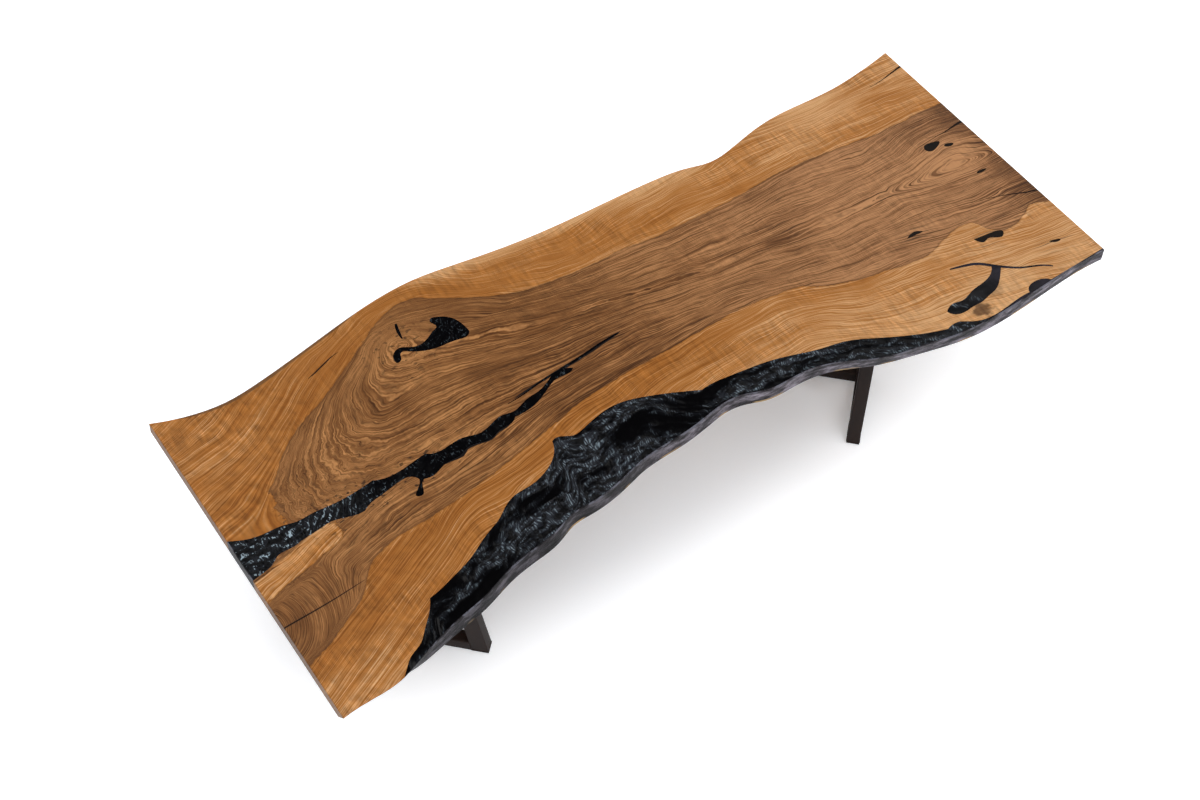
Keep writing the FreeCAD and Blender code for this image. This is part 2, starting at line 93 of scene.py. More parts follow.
# %% Sums of nodes
class Sums:
    """A node tree that is written one step at a time."""

    def __init__(self, tree):
        self.tree = tree

    def feed(self, socket, value):
        if isinstance(value, bpy.types.NodeSocket):
            self.tree.links.new(value, socket)
        else:
            socket.default_value = value

    def supply(self, node, **values):
        """Feed inputs of a node by name, with an underscore for each space."""
        for key, value in values.items():
            self.feed(node.inputs[key.replace("_", " ")], value)

    def add(self, kind, inputs=(), **settings):
        node = self.tree.nodes.new("ShaderNode" + kind)
        for name, value in settings.items():
            setattr(node, name, value)
        for key, value in dict(inputs).items():
            self.feed(node.inputs[key], value)
        return node

    def math(self, operation, *terms):
        return self.add("Math", enumerate(terms), operation=operation).outputs[0]

    def plus(self, *terms):
        total = terms[0]
        for term in terms[1:]:
            total = self.math("ADD", total, term)
        return total

    def minus(self, first, second):
        return self.math("SUBTRACT", first, second)

    def times(self, *terms):
        product = terms[0]
        for term in terms[1:]:
            product = self.math("MULTIPLY", product, term)
        return product

    def scaled(self, value, factor, offset=0.0):
        return self.math("MULTIPLY_ADD", value, factor, offset)

    def length(self, *sides):
        return self.math("SQRT", self.plus(*[self.times(side, side) for side in sides]))


print("sums ready")

# %% [markdown]
# ## Patterns
# The figure of wood and resin is stretched noise, soft steps that turn a number into a mask, and
# smooth lines that run along the table. The lines could be drawn as curve objects, but a Float
# Curve node gives a height that sums can use, and its few points are easy to move.


# %% Steps, noise and lines
class Patterns(Sums):
    """Sums with soft steps, noise, and lines along the table."""

    LINE_SPAN = 1.2

    def swing(self, noise, amount):
        """A noise from 0 to 1, turned into a swing to both sides of zero."""
        return self.scaled(noise, amount, -amount / 2)

    def rise(self, value, low, high):
        """0 below low, 1 above high, and a soft slope between them."""
        inputs = {"Value": value, "From Min": low, "From Max": high}
        return self.add("MapRange", inputs, interpolation_type="SMOOTHSTEP").outputs[0]

    def fall(self, value, low, high):
        return self.minus(1.0, self.rise(value, low, high))

    def close(self, value, middle, inner, outer):
        """1 within inner of the middle, 0 beyond outer."""
        return self.fall(self.math("ABSOLUTE", self.minus(value, middle)), inner, outer)

    def waves(self, axes, per_metre, detail=2.0, roughness=0.5):
        """Noise with so many waves per metre along each of two or three axes."""
        counted = [self.times(axis, count) for axis, count in zip(axes, per_metre)]
        place = self.add("CombineXYZ", enumerate(counted)).outputs[0]
        inputs = {"Vector": place, "Scale": 1.0, "Detail": detail, "Roughness": roughness}
        return self.add("TexNoise", inputs).outputs["Fac"]

    def along(self, x, points):
        """A smooth line through (x, height) points, as a height over the length of the table."""
        node = self.add("FloatCurve", {"Value": self.scaled(x, 0.5 / HALF_LENGTH, 0.5)})
        line = node.mapping.curves[0]
        for index, (station, height) in enumerate(points):
            where = (station / HALF_LENGTH / 2 + 0.5, height / self.LINE_SPAN + 0.5)
            if index < 2:
                line.points[index].location = where
            else:
                line.points.new(*where)
        for point in line.points:
            point.handle_type = "AUTO_CLAMPED"
        node.mapping.update()
        return self.scaled(node.outputs[0], self.LINE_SPAN, -self.LINE_SPAN / 2)

    def object_place(self):
        split = self.add("SeparateXYZ", {"Vector": self.add("TexCoord").outputs["Object"]})
        return split.outputs["X"], split.outputs["Y"], split.outputs["Z"]

    def facing(self, axis):
        """How far the surface faces along an axis, without its sign."""
        split = self.add("SeparateXYZ", {"Vector": self.add("TexCoord").outputs["Normal"]})
        return self.math("ABSOLUTE", split.outputs[axis])


print("patterns ready")

# %% [markdown]
# ## Colour and relief
# A mask mixes two colours, a ramp turns a number into a colour, and a bump turns a height into
# a normal. A material holds one shader. What several places share goes into a node group, which
# is built once and used by name.


# %% Colours, materials and groups
class Steps(Patterns):
    """Patterns that end in colour and relief."""

    def mix(self, factor, first, second, blend="MIX"):
        inputs = {0: factor, 6: first, 7: second}
        return self.add("Mix", inputs, data_type="RGBA", blend_type=blend).outputs[2]

    def between(self, factor, first, second):
        return self.add("Mix", {0: factor, 2: first, 3: second}, data_type="FLOAT").outputs[0]

    def shade(self, colour, strength):
        """A colour made lighter or darker by a number."""
        grey = self.add("CombineColor", {0: strength, 1: strength, 2: strength}).outputs[0]
        return self.mix(1.0, colour, grey, "MULTIPLY")

    def ramp(self, value, stops):
        """Colours along a scale; each stop is a place from 0 to 1 and a colour."""
        node = self.add("ValToRGB", {"Fac": value})
        knots = node.color_ramp.elements
        for index, (position, colour) in enumerate(stops):
            knot = knots[index] if index < 2 else knots.new(position)
            knot.position = position
            knot.color = (*colour, 1)
        return node.outputs["Color"]

    def bump(self, height, distance, strength=1.0):
        inputs = {"Height": height, "Distance": distance, "Strength": strength}
        return self.add("Bump", inputs).outputs["Normal"]


def new_material(name, **constants):
    """A material with one shader, whose constant sockets are set by name."""
    material = bpy.data.materials.new(name)
    material.use_nodes = True
    material.node_tree.nodes.clear()
    steps = Steps(material.node_tree)
    shader = steps.add("BsdfPrincipled")
    steps.supply(shader, **constants)
    steps.supply(steps.add("OutputMaterial"), Surface=shader.outputs["BSDF"])
    return material, steps, shader


def new_group(name, inputs, outputs):
    """A node group that takes numbers and gives numbers."""
    tree = bpy.data.node_groups.new(name, "ShaderNodeTree")
    for keys, way in ((inputs, "INPUT"), (outputs, "OUTPUT")):
        for key in keys:
            tree.interface.new_socket(key, in_out=way, socket_type="NodeSocketFloat")
    given = tree.nodes.new("NodeGroupInput")
    made = tree.nodes.new("NodeGroupOutput")
    return tree, Steps(tree), given.outputs, made


def use_group(steps, tree, **values):
    node = steps.tree.nodes.new("ShaderNodeGroup")
    node.node_tree = tree
    steps.supply(node, **values)
    return node.outputs


def dress(material, *names):
    """Give a finish to pieces of the frame, by name."""
    for name in names:
        slots = nodes[name].data.materials
        slots.clear()
        slots.append(material)


print("materials ready")

# %% [markdown]
# ## The walnut: where the dark wood lies
# A walnut log has honey-coloured sapwood under the bark and brown heartwood inside. On this slab
# the heartwood is one long field with the sapwood as a band along both live edges, and it ends
# in a tongue before the left end, with a pale wedge of sapwood under the river. The borders were
# read off the photograph as a few points each. A painted mask would do as well, but a border
# that is a line also gives the distance to it, which colours the wood on both of its sides.

# %% The borders of the heartwood
FAR_BORDER = [
    (-1.25, 0.03), (-1.09, 0.125), (-0.97, 0.235), (-0.81, 0.32), (-0.66, 0.41), (-0.58, 0.46),
    (-0.50, 0.482), (-0.40, 0.434), (-0.32, 0.386), (-0.26, 0.358), (-0.18, 0.333), (-0.09, 0.320),
    (0.01, 0.312), (0.11, 0.314), (0.20, 0.304), (0.41, 0.300), (0.52, 0.301), (0.63, 0.312),
    (0.74, 0.311), (0.85, 0.300), (1.09, 0.281), (1.25, 0.282),
]
NEAR_BORDER = [
    (-1.25, -0.38), (-1.18, -0.354), (-1.13, -0.325), (-1.06, -0.288), (-1.03, -0.26),
    (-1.0, -0.222), (-0.95, -0.19), (-0.90, -0.177), (-0.80, -0.171), (-0.60, -0.145),
    (-0.50, -0.123), (-0.38, -0.097), (-0.27, -0.071), (-0.07, -0.056), (0.04, -0.051),
    (0.25, -0.044), (0.35, -0.053), (0.44, -0.066), (0.51, -0.107), (0.60, -0.137),
    (0.70, -0.156), (0.79, -0.172), (0.87, -0.16), (0.945, -0.139), (1.0, -0.14),
    (1.03, -0.194), (1.08, -0.219), (1.15, -0.204), (1.19, -0.182), (1.25, -0.206),
]
RIVER_MIDDLE = [(-1.25, -0.024), (-0.8, -0.03), (-0.6, -0.025), (-0.45, -0.015), (-0.3, 0.03),
                (-0.06, 0.067), (1.25, 0.2)]
TONGUE_END = -1.095
PALE_WEDGE = ((-1.26, -0.135), (-1.03, -0.075))
PALE_WEDGE_HALF_WIDTH = 0.034
TONGUE_WAVER = (0.05, 0.04)
BORDER_WAVER = (0.012, 0.006)
FAR_BORDER_SLANT = 0.86


def small_waves(s, x, y, z):
    """Two noises that make a line waver: one of a few centimetres, and a finer one."""
    wiggle = s.swing(s.waves((x, y, z), (24, 24, 1)), 1.0)
    fine = s.swing(s.waves((x, y, 2.0), (80, 80, 1), detail=1.0), 1.0)
    return wiggle, fine


def wedge_distance(s, x, y):
    """Distance to the middle line of the pale wedge."""
    (x0, y0), (x1, y1) = PALE_WEDGE
    length = math.hypot(x1 - x0, y1 - y0)
    ux, uy = (x1 - x0) / length, (y1 - y0) / length
    along = s.plus(s.scaled(x, ux, -x0 * ux), s.scaled(y, uy, -y0 * uy))
    across = s.plus(s.scaled(x, -uy, x0 * uy), s.scaled(y, ux, -y0 * ux))
    return s.length(across, s.math("MAXIMUM", s.minus(along, length), 0.0))


def draw_borders():
    """How deep a place lies in the heartwood, and its distance from the river and the wedge."""
    tree, s, _, made = new_group("heartwood_borders", [], ["Depth", "River", "Wedge"])
    x, y, z = s.object_place()
    wiggle, fine = small_waves(s, x, y, z)
    edge_x = s.plus(x, s.times(wiggle, TONGUE_WAVER[0]), s.times(fine, TONGUE_WAVER[1]))
    edge_y = s.plus(y, s.times(wiggle, BORDER_WAVER[0]), s.times(fine, BORDER_WAVER[1]))

    river = s.minus(y, s.along(x, RIVER_MIDDLE))
    under_river = s.math("LESS_THAN", river, 0.0)
    far = s.times(s.minus(s.along(x, FAR_BORDER), edge_y), FAR_BORDER_SLANT)
    near = s.minus(edge_y, s.along(x, NEAR_BORDER))
    tongue = s.plus(s.minus(edge_x, TONGUE_END), under_river)
    wedge = s.minus(wedge_distance(s, x, edge_y), PALE_WEDGE_HALF_WIDTH)
    wedge = s.plus(wedge, s.minus(1.0, under_river))
    depth = s.math("MINIMUM", s.math("MINIMUM", far, near), s.math("MINIMUM", tongue, wedge))
    s.supply(made, Depth=depth, River=river, Wedge=wedge)
    return tree


heartwood_borders = draw_borders()
print("borders drawn with", len(heartwood_borders.nodes), "nodes")

# %% [markdown]
# ## The walnut: growth rings
# A board shows its growth rings as level lines of one field: the distance from the pith of the
# log. Here the field is a share of the way from the pith to either border. It closes in a tongue
# at the left, turns round the knot, and shows arcs at the fan and the eye near the two ends. In
# the near sapwood at the left the lines run straight. Noise in the field makes them waver, most
# of all in the tongue and round the knot. A wood texture would be quicker to place, but its rings
# can't be led round a knot.

# %% The field of the rings
PITH = [(-1.25, 0.01), (-1.1, 0.05), (-0.9, 0.15), (-0.7, 0.285), (-0.575, 0.335), (-0.42, 0.30),
        (-0.1, 0.21), (0.3, 0.12), (0.7, 0.09), (1.25, 0.05)]
FAR_RINGS = [(-1.25, 0.22), (-1.0, 0.29), (-0.8, 0.38), (-0.52, 0.47), (-0.22, 0.36),
             (0.0, 0.318), (0.6, 0.308), (1.25, 0.28)]
NEAR_RINGS = [(-1.25, -0.36), (-0.9, -0.18), (-0.5, -0.125), (0.0, -0.052), (0.35, -0.058),
              (0.6, -0.13), (0.85, -0.165), (1.25, -0.22)]
PITH_END = -0.58
RING_REACH = 0.27
KNOT = (-0.575, 0.345)
EYE = (1.125, 0.125)
PALE_EYE = (1.12, 0.09)
FAN = (-1.30, -0.235)
EYE_HEIGHT = 0.07
EYE_SLOPE = 0.32
KNOT_RINGS = 0.5
FAN_RINGS = 0.8
STRAIGHT_SLOPE = 0.5
STRAIGHT_START = (-0.70, -0.25)
STRAIGHT_LEVEL = 0.333
STRAIGHT_RINGS = 0.8
RING_LEAN = 0.45


def radius_about(s, x, y, centre, stretch):
    """Distance from a centre, with the x axis shrunk so that the rings are long ovals."""
    return s.length(s.scaled(x, 1 / stretch, -centre[0] / stretch), s.minus(y, centre[1]))


def main_rings(s, x, y, wide, under_river):
    """Rings from the pith to the borders, closed in a tongue at the left."""
    lean = s.swing(s.waves((x, y, 4.0), (2.1, 5.0, 1.0)), 1.0)
    pith = s.along(x, PITH)
    away = s.minus(s.plus(y, s.times(wide, 0.07), s.times(lean, 0.05)), pith)
    to_far = s.math("DIVIDE", away, s.minus(s.along(x, FAR_RINGS), pith))
    to_near = s.math("DIVIDE", away, s.minus(s.along(x, NEAR_RINGS), pith))
    share = s.math("SMOOTH_MAX", to_far, to_near, 0.35)
    turn = s.math("MAXIMUM", s.scaled(s.plus(x, s.times(wide, 0.10)), -1.0, PITH_END), 0.0)
    turn = s.times(turn, s.between(under_river, 1.0 / (PITH_END - TONGUE_END), 0.6))
    turn = s.math("SMOOTH_MIN", turn, 1.0, 0.3)
    return s.times(s.length(share, turn), RING_REACH)


def local_rings(s, rings, x, y, wide, given, under_river, knot):
    """Rings about the knot and the eye, arcs of the fan, and straight lines in near sapwood."""
    rings = s.between(s.fall(knot, 0.02, 0.10), rings, s.times(knot, KNOT_RINGS))
    eye = radius_about(s, x, y, EYE, 1.15)
    rings = s.minus(rings, s.math("MAXIMUM", s.scaled(eye, -EYE_SLOPE, EYE_HEIGHT), 0.0))
    fan = radius_about(s, x, y, FAN, 1.0)
    in_fan = s.times(s.fall(fan, 0.15, 0.30), under_river, s.rise(given["Wedge"], 0.0, 0.03),
                     s.rise(given["Depth"], 0.0, 0.02))
    rings = s.between(in_fan, rings, s.times(fan, FAN_RINGS))
    straight = s.minus(s.scaled(x, STRAIGHT_SLOPE, -STRAIGHT_SLOPE * STRAIGHT_START[0]),
                       s.minus(y, STRAIGHT_START[1]))
    straight = s.scaled(s.plus(straight, s.times(wide, 0.02)), STRAIGHT_RINGS, STRAIGHT_LEVEL)
    in_straight = s.times(s.fall(given["Depth"], -0.004, 0.004), s.fall(x, -0.82, -0.60),
                          s.rise(given["Wedge"], 0.0, 0.004), under_river)
    return s.between(in_straight, rings, straight)


def draw_rings():
    """The field whose level lines are the growth rings, and how near the knot and the eye are."""
    tree, s, given, made = new_group("growth_rings", ["Depth", "River", "Wedge"],
                                     ["Rings", "Knot", "Eye"])
    x, y, z = s.object_place()
    wide = s.swing(s.waves((x, y, z), (3.2, 7.0, 7.0), detail=3.0), 1.0)
    wiggle, fine = small_waves(s, x, y, z)
    under_river = s.math("LESS_THAN", given["River"], 0.0)
    knot = radius_about(s, x, y, KNOT, 1.2)
    near_knot = s.fall(knot, 0.02, 0.16)
    rings = main_rings(s, x, y, wide, under_river)
    rings = local_rings(s, rings, x, y, wide, given, under_river, knot)

    unrest = s.plus(0.3, s.close(x, -0.98, 0.03, 0.3), s.times(near_knot, 0.7))
    unrest = s.times(unrest, s.rise(given["Depth"], -0.02, 0.02), s.scaled(under_river, -0.7, 1.0))
    rings = s.plus(rings, s.times(wiggle, unrest, 0.016), s.times(fine, unrest, 0.007))
    rings = s.plus(rings, s.scaled(z, -RING_LEAN, RING_LEAN * TOP))
    eye = s.fall(radius_about(s, x, y, PALE_EYE, 1.2), 0.03, 0.13)
    s.supply(made, Rings=rings, Knot=near_knot, Eye=eye)
    return tree


growth_rings = draw_rings()
print("rings drawn with", len(growth_rings.nodes), "nodes")

# %% [markdown]
# ## The walnut: grain
# Several scales make wood look like wood: broad bands, ring lines a few millimetres apart, fibres
# finer than a hair, and short dark pores. All of them are noise that is squeezed across the rings
# and drawn out along them, so they bend together round the knot. The end of each year is a thin
# dark line, sharp on one side and fading on the other, which a saw-tooth gives better than noise.

# %% The grain at its scales
GRAINS = {
    "bands": (20.0, 0.8, 1.0), "lines": (95.0, 1.3, 2.0), "threads": (240.0, 2.5, 2.0),
    "hairs": (520.0, 5.0, 1.0), "flames": (50.0, 16.0, 3.0), "pores": (360.0, 26.0, 1.0),
}
WIDE_YEARS = 110
NARROW_YEARS = 240
PALE_YEARS = 140
PALE_SHIFT = 0.7
YEAR_SHARPNESS = 7.0


def grain(s, rings, x, y, across, along, detail):
    """Noise that is short across the rings and long beside them."""
    return s.waves((rings, x, y), (across, along, along), detail=detail, roughness=0.6)


def year_lines(s, rings, x, y, per_metre):
    """Thin lines, one for each year, which come and go along the board."""
    drift = grain(s, rings, x, y, 0.35 * per_metre, 3.0, 1.0)
    saw = s.math("FRACT", s.plus(s.times(rings, per_metre), s.swing(drift, 2.0)))
    present = s.rise(grain(s, rings, x, y, 0.2 * per_metre, 6.0, 1.0), 0.38, 0.62)
    return s.times(s.math("POWER", saw, YEAR_SHARPNESS), present)


def draw_years(s, rings, x, y):
    """Dark lines of wide and of narrow years, and pale lines that don't follow them."""
    wide = s.times(year_lines(s, rings, x, y, WIDE_YEARS), 0.5)
    narrow = year_lines(s, rings, x, y, NARROW_YEARS)
    pale = year_lines(s, s.plus(rings, PALE_SHIFT), x, y, PALE_YEARS)
    return s.math("MAXIMUM", wide, narrow), pale


print("grain at", len(GRAINS), "scales")

# %% [markdown]
# ## The walnut: colour
# Heartwood and sapwood each get a value from the grain, and a ramp turns the value into a colour.
# Both wander along the table: the heartwood is darkest in the middle, with calm streaks at the
# left and crisp ones at the right, and the sapwood is deep gold at the left and pale at the right.
# Towards the right end the paler sapwood and a cooler tint on the heartwood are partly the wood's
# own tone and partly a painted sheen of the light there. One ramp over the whole slab would be
# simpler, but then the two woods couldn't change apart.

# %% Values of the heartwood and the sapwood
SAPWOOD = [(0.0, (0.22, 0.070, 0.010)), (0.35, (0.345, 0.124, 0.021)),
           (0.65, (0.44, 0.190, 0.054)), (1.0, (0.64, 0.365, 0.170))]
HEARTWOOD = [(0.0, (0.055, 0.021, 0.007)), (0.3, (0.135, 0.053, 0.016)),
             (0.55, (0.225, 0.097, 0.034)), (0.8, (0.325, 0.152, 0.059)),
             (1.0, (0.46, 0.225, 0.090))]
HEART_TONE = [(-1.25, -0.08), (-0.95, 0.08), (-0.6, 0.04), (-0.2, -0.15), (0.2, 0.08), (0.6, 0.20),
              (0.95, 0.24), (1.1, 0.12), (1.25, -0.36)]
# Partly painted sheen: the rise towards the right end also stands for the sheen of the light there.
SAP_TONE_AND_SHEEN = [(-1.25, -0.03), (-0.6, -0.02), (0.0, 0.06), (0.5, 0.20), (0.9, 0.36), (1.25, 0.28)]
FAR_EDGE = [(-1.25, 0.55), (-0.5, 0.555), (-0.4, 0.536), (-0.16, 0.507), (0.09, 0.491), (0.37, 0.49),
            (0.49, 0.466), (0.65, 0.479), (0.97, 0.51), (1.25, 0.53)]
LEFT_TINT = (1.0, 0.95, 0.82, 1)
RIGHT_TINT_AND_SHEEN = (1.04, 1.04, 1.12, 1)
HEART_BASE = 0.55
HEART_STREAKS = {"bands": 0.25, "lines": 0.3, "threads": 1.25, "hairs": 2.9, "flames": 0.7}
SAP_BASE = 0.28
SAP_STREAKS = {"bands": 0.2, "lines": 0.2, "threads": 0.8, "hairs": 2.0, "flames": 0.3}


def streaks(s, grains, strengths, **shares):
    """The scales of the grain added up, some of them at a share that changes along the board."""
    parts = [s.times(s.swing(grains[name], strength), shares.get(name, 1.0))
             for name, strength in strengths.items()]
    return s.plus(*parts)


def heart_value(s, grains, x, patches, figure, river):
    """How pale the heartwood is, with a gold strip beside the river."""
    crisp = s.rise(x, -0.9, 0.5)
    calm = s.rise(x, 0.0, 0.5)
    drawn = streaks(s, grains, HEART_STREAKS, threads=s.scaled(crisp, 0.65, 0.35),
                    hairs=s.scaled(crisp, 0.4, 0.6), flames=s.scaled(calm, -0.5, 1.0))
    gold = s.times(s.close(river, 0.045, 0.0, 0.05), s.close(x, -0.5, 0.1, 0.35),
                   s.rise(grains["lines"], 0.42, 0.6))
    return s.plus(HEART_BASE, s.along(x, HEART_TONE), drawn, s.swing(patches, 0.4),
                  s.times(figure["Knot"], 0.08), s.times(figure["Eye"], 0.50), s.times(gold, 0.40))


def sap_value(s, grains, x, y, patches, depth, wedge):
    """How pale the sapwood is: most in the wedge and left corner; the far rim has a painted highlight.
    """
    in_wedge = s.fall(wedge, -0.004, 0.004)
    by_the_heart = s.close(depth, -0.007, 0.0, 0.007)
    corner = s.times(s.fall(x, -1.15, -0.85), s.fall(y, -0.50, -0.34))
    # Painted highlight: a paler band along the far edge in the middle stands for light caught by that
    # edge.
    far_rim_highlight = s.times(s.rise(s.minus(y, s.along(x, FAR_EDGE)), -0.06, 0.0),
                      s.close(x, -0.02, 0.38, 0.6))
    outwards = s.math("MAXIMUM", depth, s.scaled(s.rise(x, -0.2, 0.6), -0.2, -0.13))
    drawn = streaks(s, grains, SAP_STREAKS)
    return s.plus(SAP_BASE, s.along(x, SAP_TONE_AND_SHEEN), drawn, s.swing(patches, 0.5),
                  s.times(outwards, -1.2), s.times(in_wedge, 0.34), s.times(by_the_heart, 0.16),
                  s.times(corner, 0.28), s.times(far_rim_highlight, 0.45))


print("wood values ready")

# %% [markdown]
# ## The walnut: the marks of this slab
# Some marks follow the rings: ink lines at the end of a year, fainter towards the left, and pale
# lines. Others belong to one place: a dark line round the heartwood, bark specks by the river and
# the knot, stains beside the branch scar, torn wood at the bark pockets, hair cracks, and a
# stained strip on the near bank of the river. They could be painted on an image, but distances
# from a few points and lines stay sharp at any size.

# %% Marks on the wood
INK_LINE = (0.050, 0.019, 0.006, 1)
PALE_LINE = (0.46, 0.245, 0.105, 1)
BARK = (0.012, 0.007, 0.004, 1)
STAIN = (0.060, 0.025, 0.010, 1)
TORN_WOOD = (0.020, 0.010, 0.006, 1)
CRACK = (0.0035, 0.0022, 0.0022, 1)
STAINS = [((0.815, -0.408), 0.050, 0.8), ((0.885, -0.370), 0.055, 0.35)]
POCKETS = [(1.11, 0.15), (0.83, -0.09), (1.00, -0.21), (1.15, -0.325)]
HAIR_CRACK = [(-1.25, -0.02), (-0.46, 0.026), (-0.40, 0.034), (-0.317, 0.0435), (-0.187, 0.054),
              (-0.064, 0.069), (1.25, 0.2)]
HAIR_CRACK_HALF_WIDTH = [(-1.25, -0.02), (-0.46, -0.003), (-0.40, 0.002), (-0.32, 0.0035),
                         (-0.19, 0.0055), (-0.09, 0.004), (-0.062, 0.002), (-0.04, -0.008),
                         (1.25, -0.02)]
BANK = [(-1.25, -0.045), (-0.70, -0.045), (-0.66, -0.047), (-0.63, -0.050), (-0.60, -0.036),
        (-0.57, -0.039), (-0.54, -0.044), (-0.51, -0.034), (-0.48, -0.031), (-0.44, -0.012),
        (1.25, 0.0)]
BANK_HALF_WIDTH = [(-1.25, -0.02), (-0.72, -0.003), (-0.68, 0.005), (-0.48, 0.006), (-0.44, -0.003),
                   (1.25, -0.02)]
END_CHECK = [(-1.25, -0.254), (-1.12, -0.249), (-1.02, -0.241), (1.25, -0.1)]
END_CHECK_HALF_WIDTH = [(-1.25, 0.0022), (-1.12, 0.0017), (-1.02, 0.0), (-0.95, -0.01),
                        (1.25, -0.02)]


def mark_rings(s, colour, years, x, depth, heart, river, figure):
    """Dark and pale lines of the years, and the dark line round the heartwood."""
    dark_years, pale_years = years
    below_river = s.times(s.close(river, -0.08, 0.05, 0.12), s.fall(x, -0.1, 0.3))
    faint = s.scaled(s.fall(x, -0.5, 0.3), -0.6, 1.0)
    clear = s.times(s.scaled(figure["Eye"], -0.75, 1.0), s.scaled(below_river, -0.3, 1.0), faint)
    colour = s.mix(s.times(dark_years, s.between(heart, 0.28, 0.68), clear), colour, INK_LINE)
    colour = s.mix(s.times(pale_years, s.between(heart, 0.15, 0.4), clear), colour, PALE_LINE)
    border = s.close(depth, 0.002, 0.0, 0.004)
    return s.mix(s.times(border, 0.4), colour, INK_LINE)


def mark_spots(s, colour, grains, x, y, z, river, figure):
    """Bark specks by the river and the knot, stains, and torn wood at the pockets."""
    specks = s.waves((x, y, z), (55, 90, 1))
    bank = s.times(s.close(river, 0.0, 0.035, 0.085), s.close(x, -0.85, 0.12, 0.3))
    dusty = s.math("MAXIMUM", bank, s.times(figure["Knot"], 0.8))
    bark = s.times(s.rise(specks, 0.60, 0.68), dusty)
    colour = s.mix(s.times(bark, 0.85), colour, BARK)
    for centre, reach, strength in STAINS:
        stain = s.fall(radius_about(s, x, y, centre, 1.2), 0.0, reach)
        stain = s.rise(s.plus(stain, s.swing(specks, 0.9)), 0.35, 0.85)
        colour = s.mix(s.times(stain, strength), colour, STAIN)
    for centre in POCKETS:
        torn = s.times(s.fall(radius_about(s, x, y, centre, 1.7), 0.012, 0.055),
                       s.rise(grains["threads"], 0.56, 0.62))
        colour = s.mix(s.times(torn, 0.8), colour, TORN_WOOD)
    return colour


def mark_cracks(s, colour, x, y):
    """Dark lines of changing width; a width below zero ends the line."""
    for line, half_width in ((HAIR_CRACK, HAIR_CRACK_HALF_WIDTH), (BANK, BANK_HALF_WIDTH),
                             (END_CHECK, END_CHECK_HALF_WIDTH)):
        gap = s.math("ABSOLUTE", s.minus(y, s.along(x, line)))
        crack = s.rise(s.minus(s.along(x, half_width), gap), -0.001, 0.001)
        colour = s.mix(crack, colour, CRACK)
    return colour


print(len(STAINS), "stains and", len(POCKETS), "torn pockets")

# %% [markdown]
# ## The walnut: the finished board
# Where the fibres wave, bars of curl cross the grain, and soft lumps lie at the left end. Both
# make the wood lighter and darker without a change of hue. The live edge at the far left is
# bevelled a little, and a darker strip of painted shade along it stands for the shade of that
# bevel. The end grain drinks the oil and turns grey-brown, so the sides and the ends get their
# own colour too.

# %% The walnut finish
FAR_WANE_SHADE_LINE = [(-1.25, 0.50), (-1.21, 0.468), (-1.15, 0.440), (-1.05, 0.425), (-0.95, 0.435),
            (-0.85, 0.457), (-0.75, 0.480), (-0.65, 0.506), (-0.55, 0.54), (-0.45, 0.59),
            (1.25, 0.59)]
PAINTED_WANE_SHADE = (0.125, 0.062, 0.026, 1)
SIDE_WOOD = (0.16, 0.085, 0.04, 1)
END_GRAIN = (0.27, 0.20, 0.15, 1)
GRAIN_DEPTH = 0.0004


def figure_light(s, x, y, z, heart, pores):
    """Light and shade of the curl, the lumps at the left end, and the pores."""
    curl = s.swing(s.waves((x, y, z), (100, 17, 17)), 1.0)
    curl_patch = s.rise(s.waves((x, y, 7.0), (4, 8, 1), detail=1.0), 0.38, 0.60)
    curl = s.times(curl, curl_patch, s.between(heart, 1.0, 0.7))
    slant = s.plus(s.times(x, 34.0), s.times(y, 22.0))
    lumps = s.swing(s.waves((slant, y, z), (1, 30, 1)), 1.0)
    lumps = s.times(lumps, s.fall(x, -1.0, -0.7), s.between(heart, 0.8, 0.1))
    pits = s.times(s.rise(pores, 0.53, 0.70), s.between(heart, 0.12, 0.38))
    return s.times(s.plus(1.0, curl, lumps), s.minus(1.0, pits))


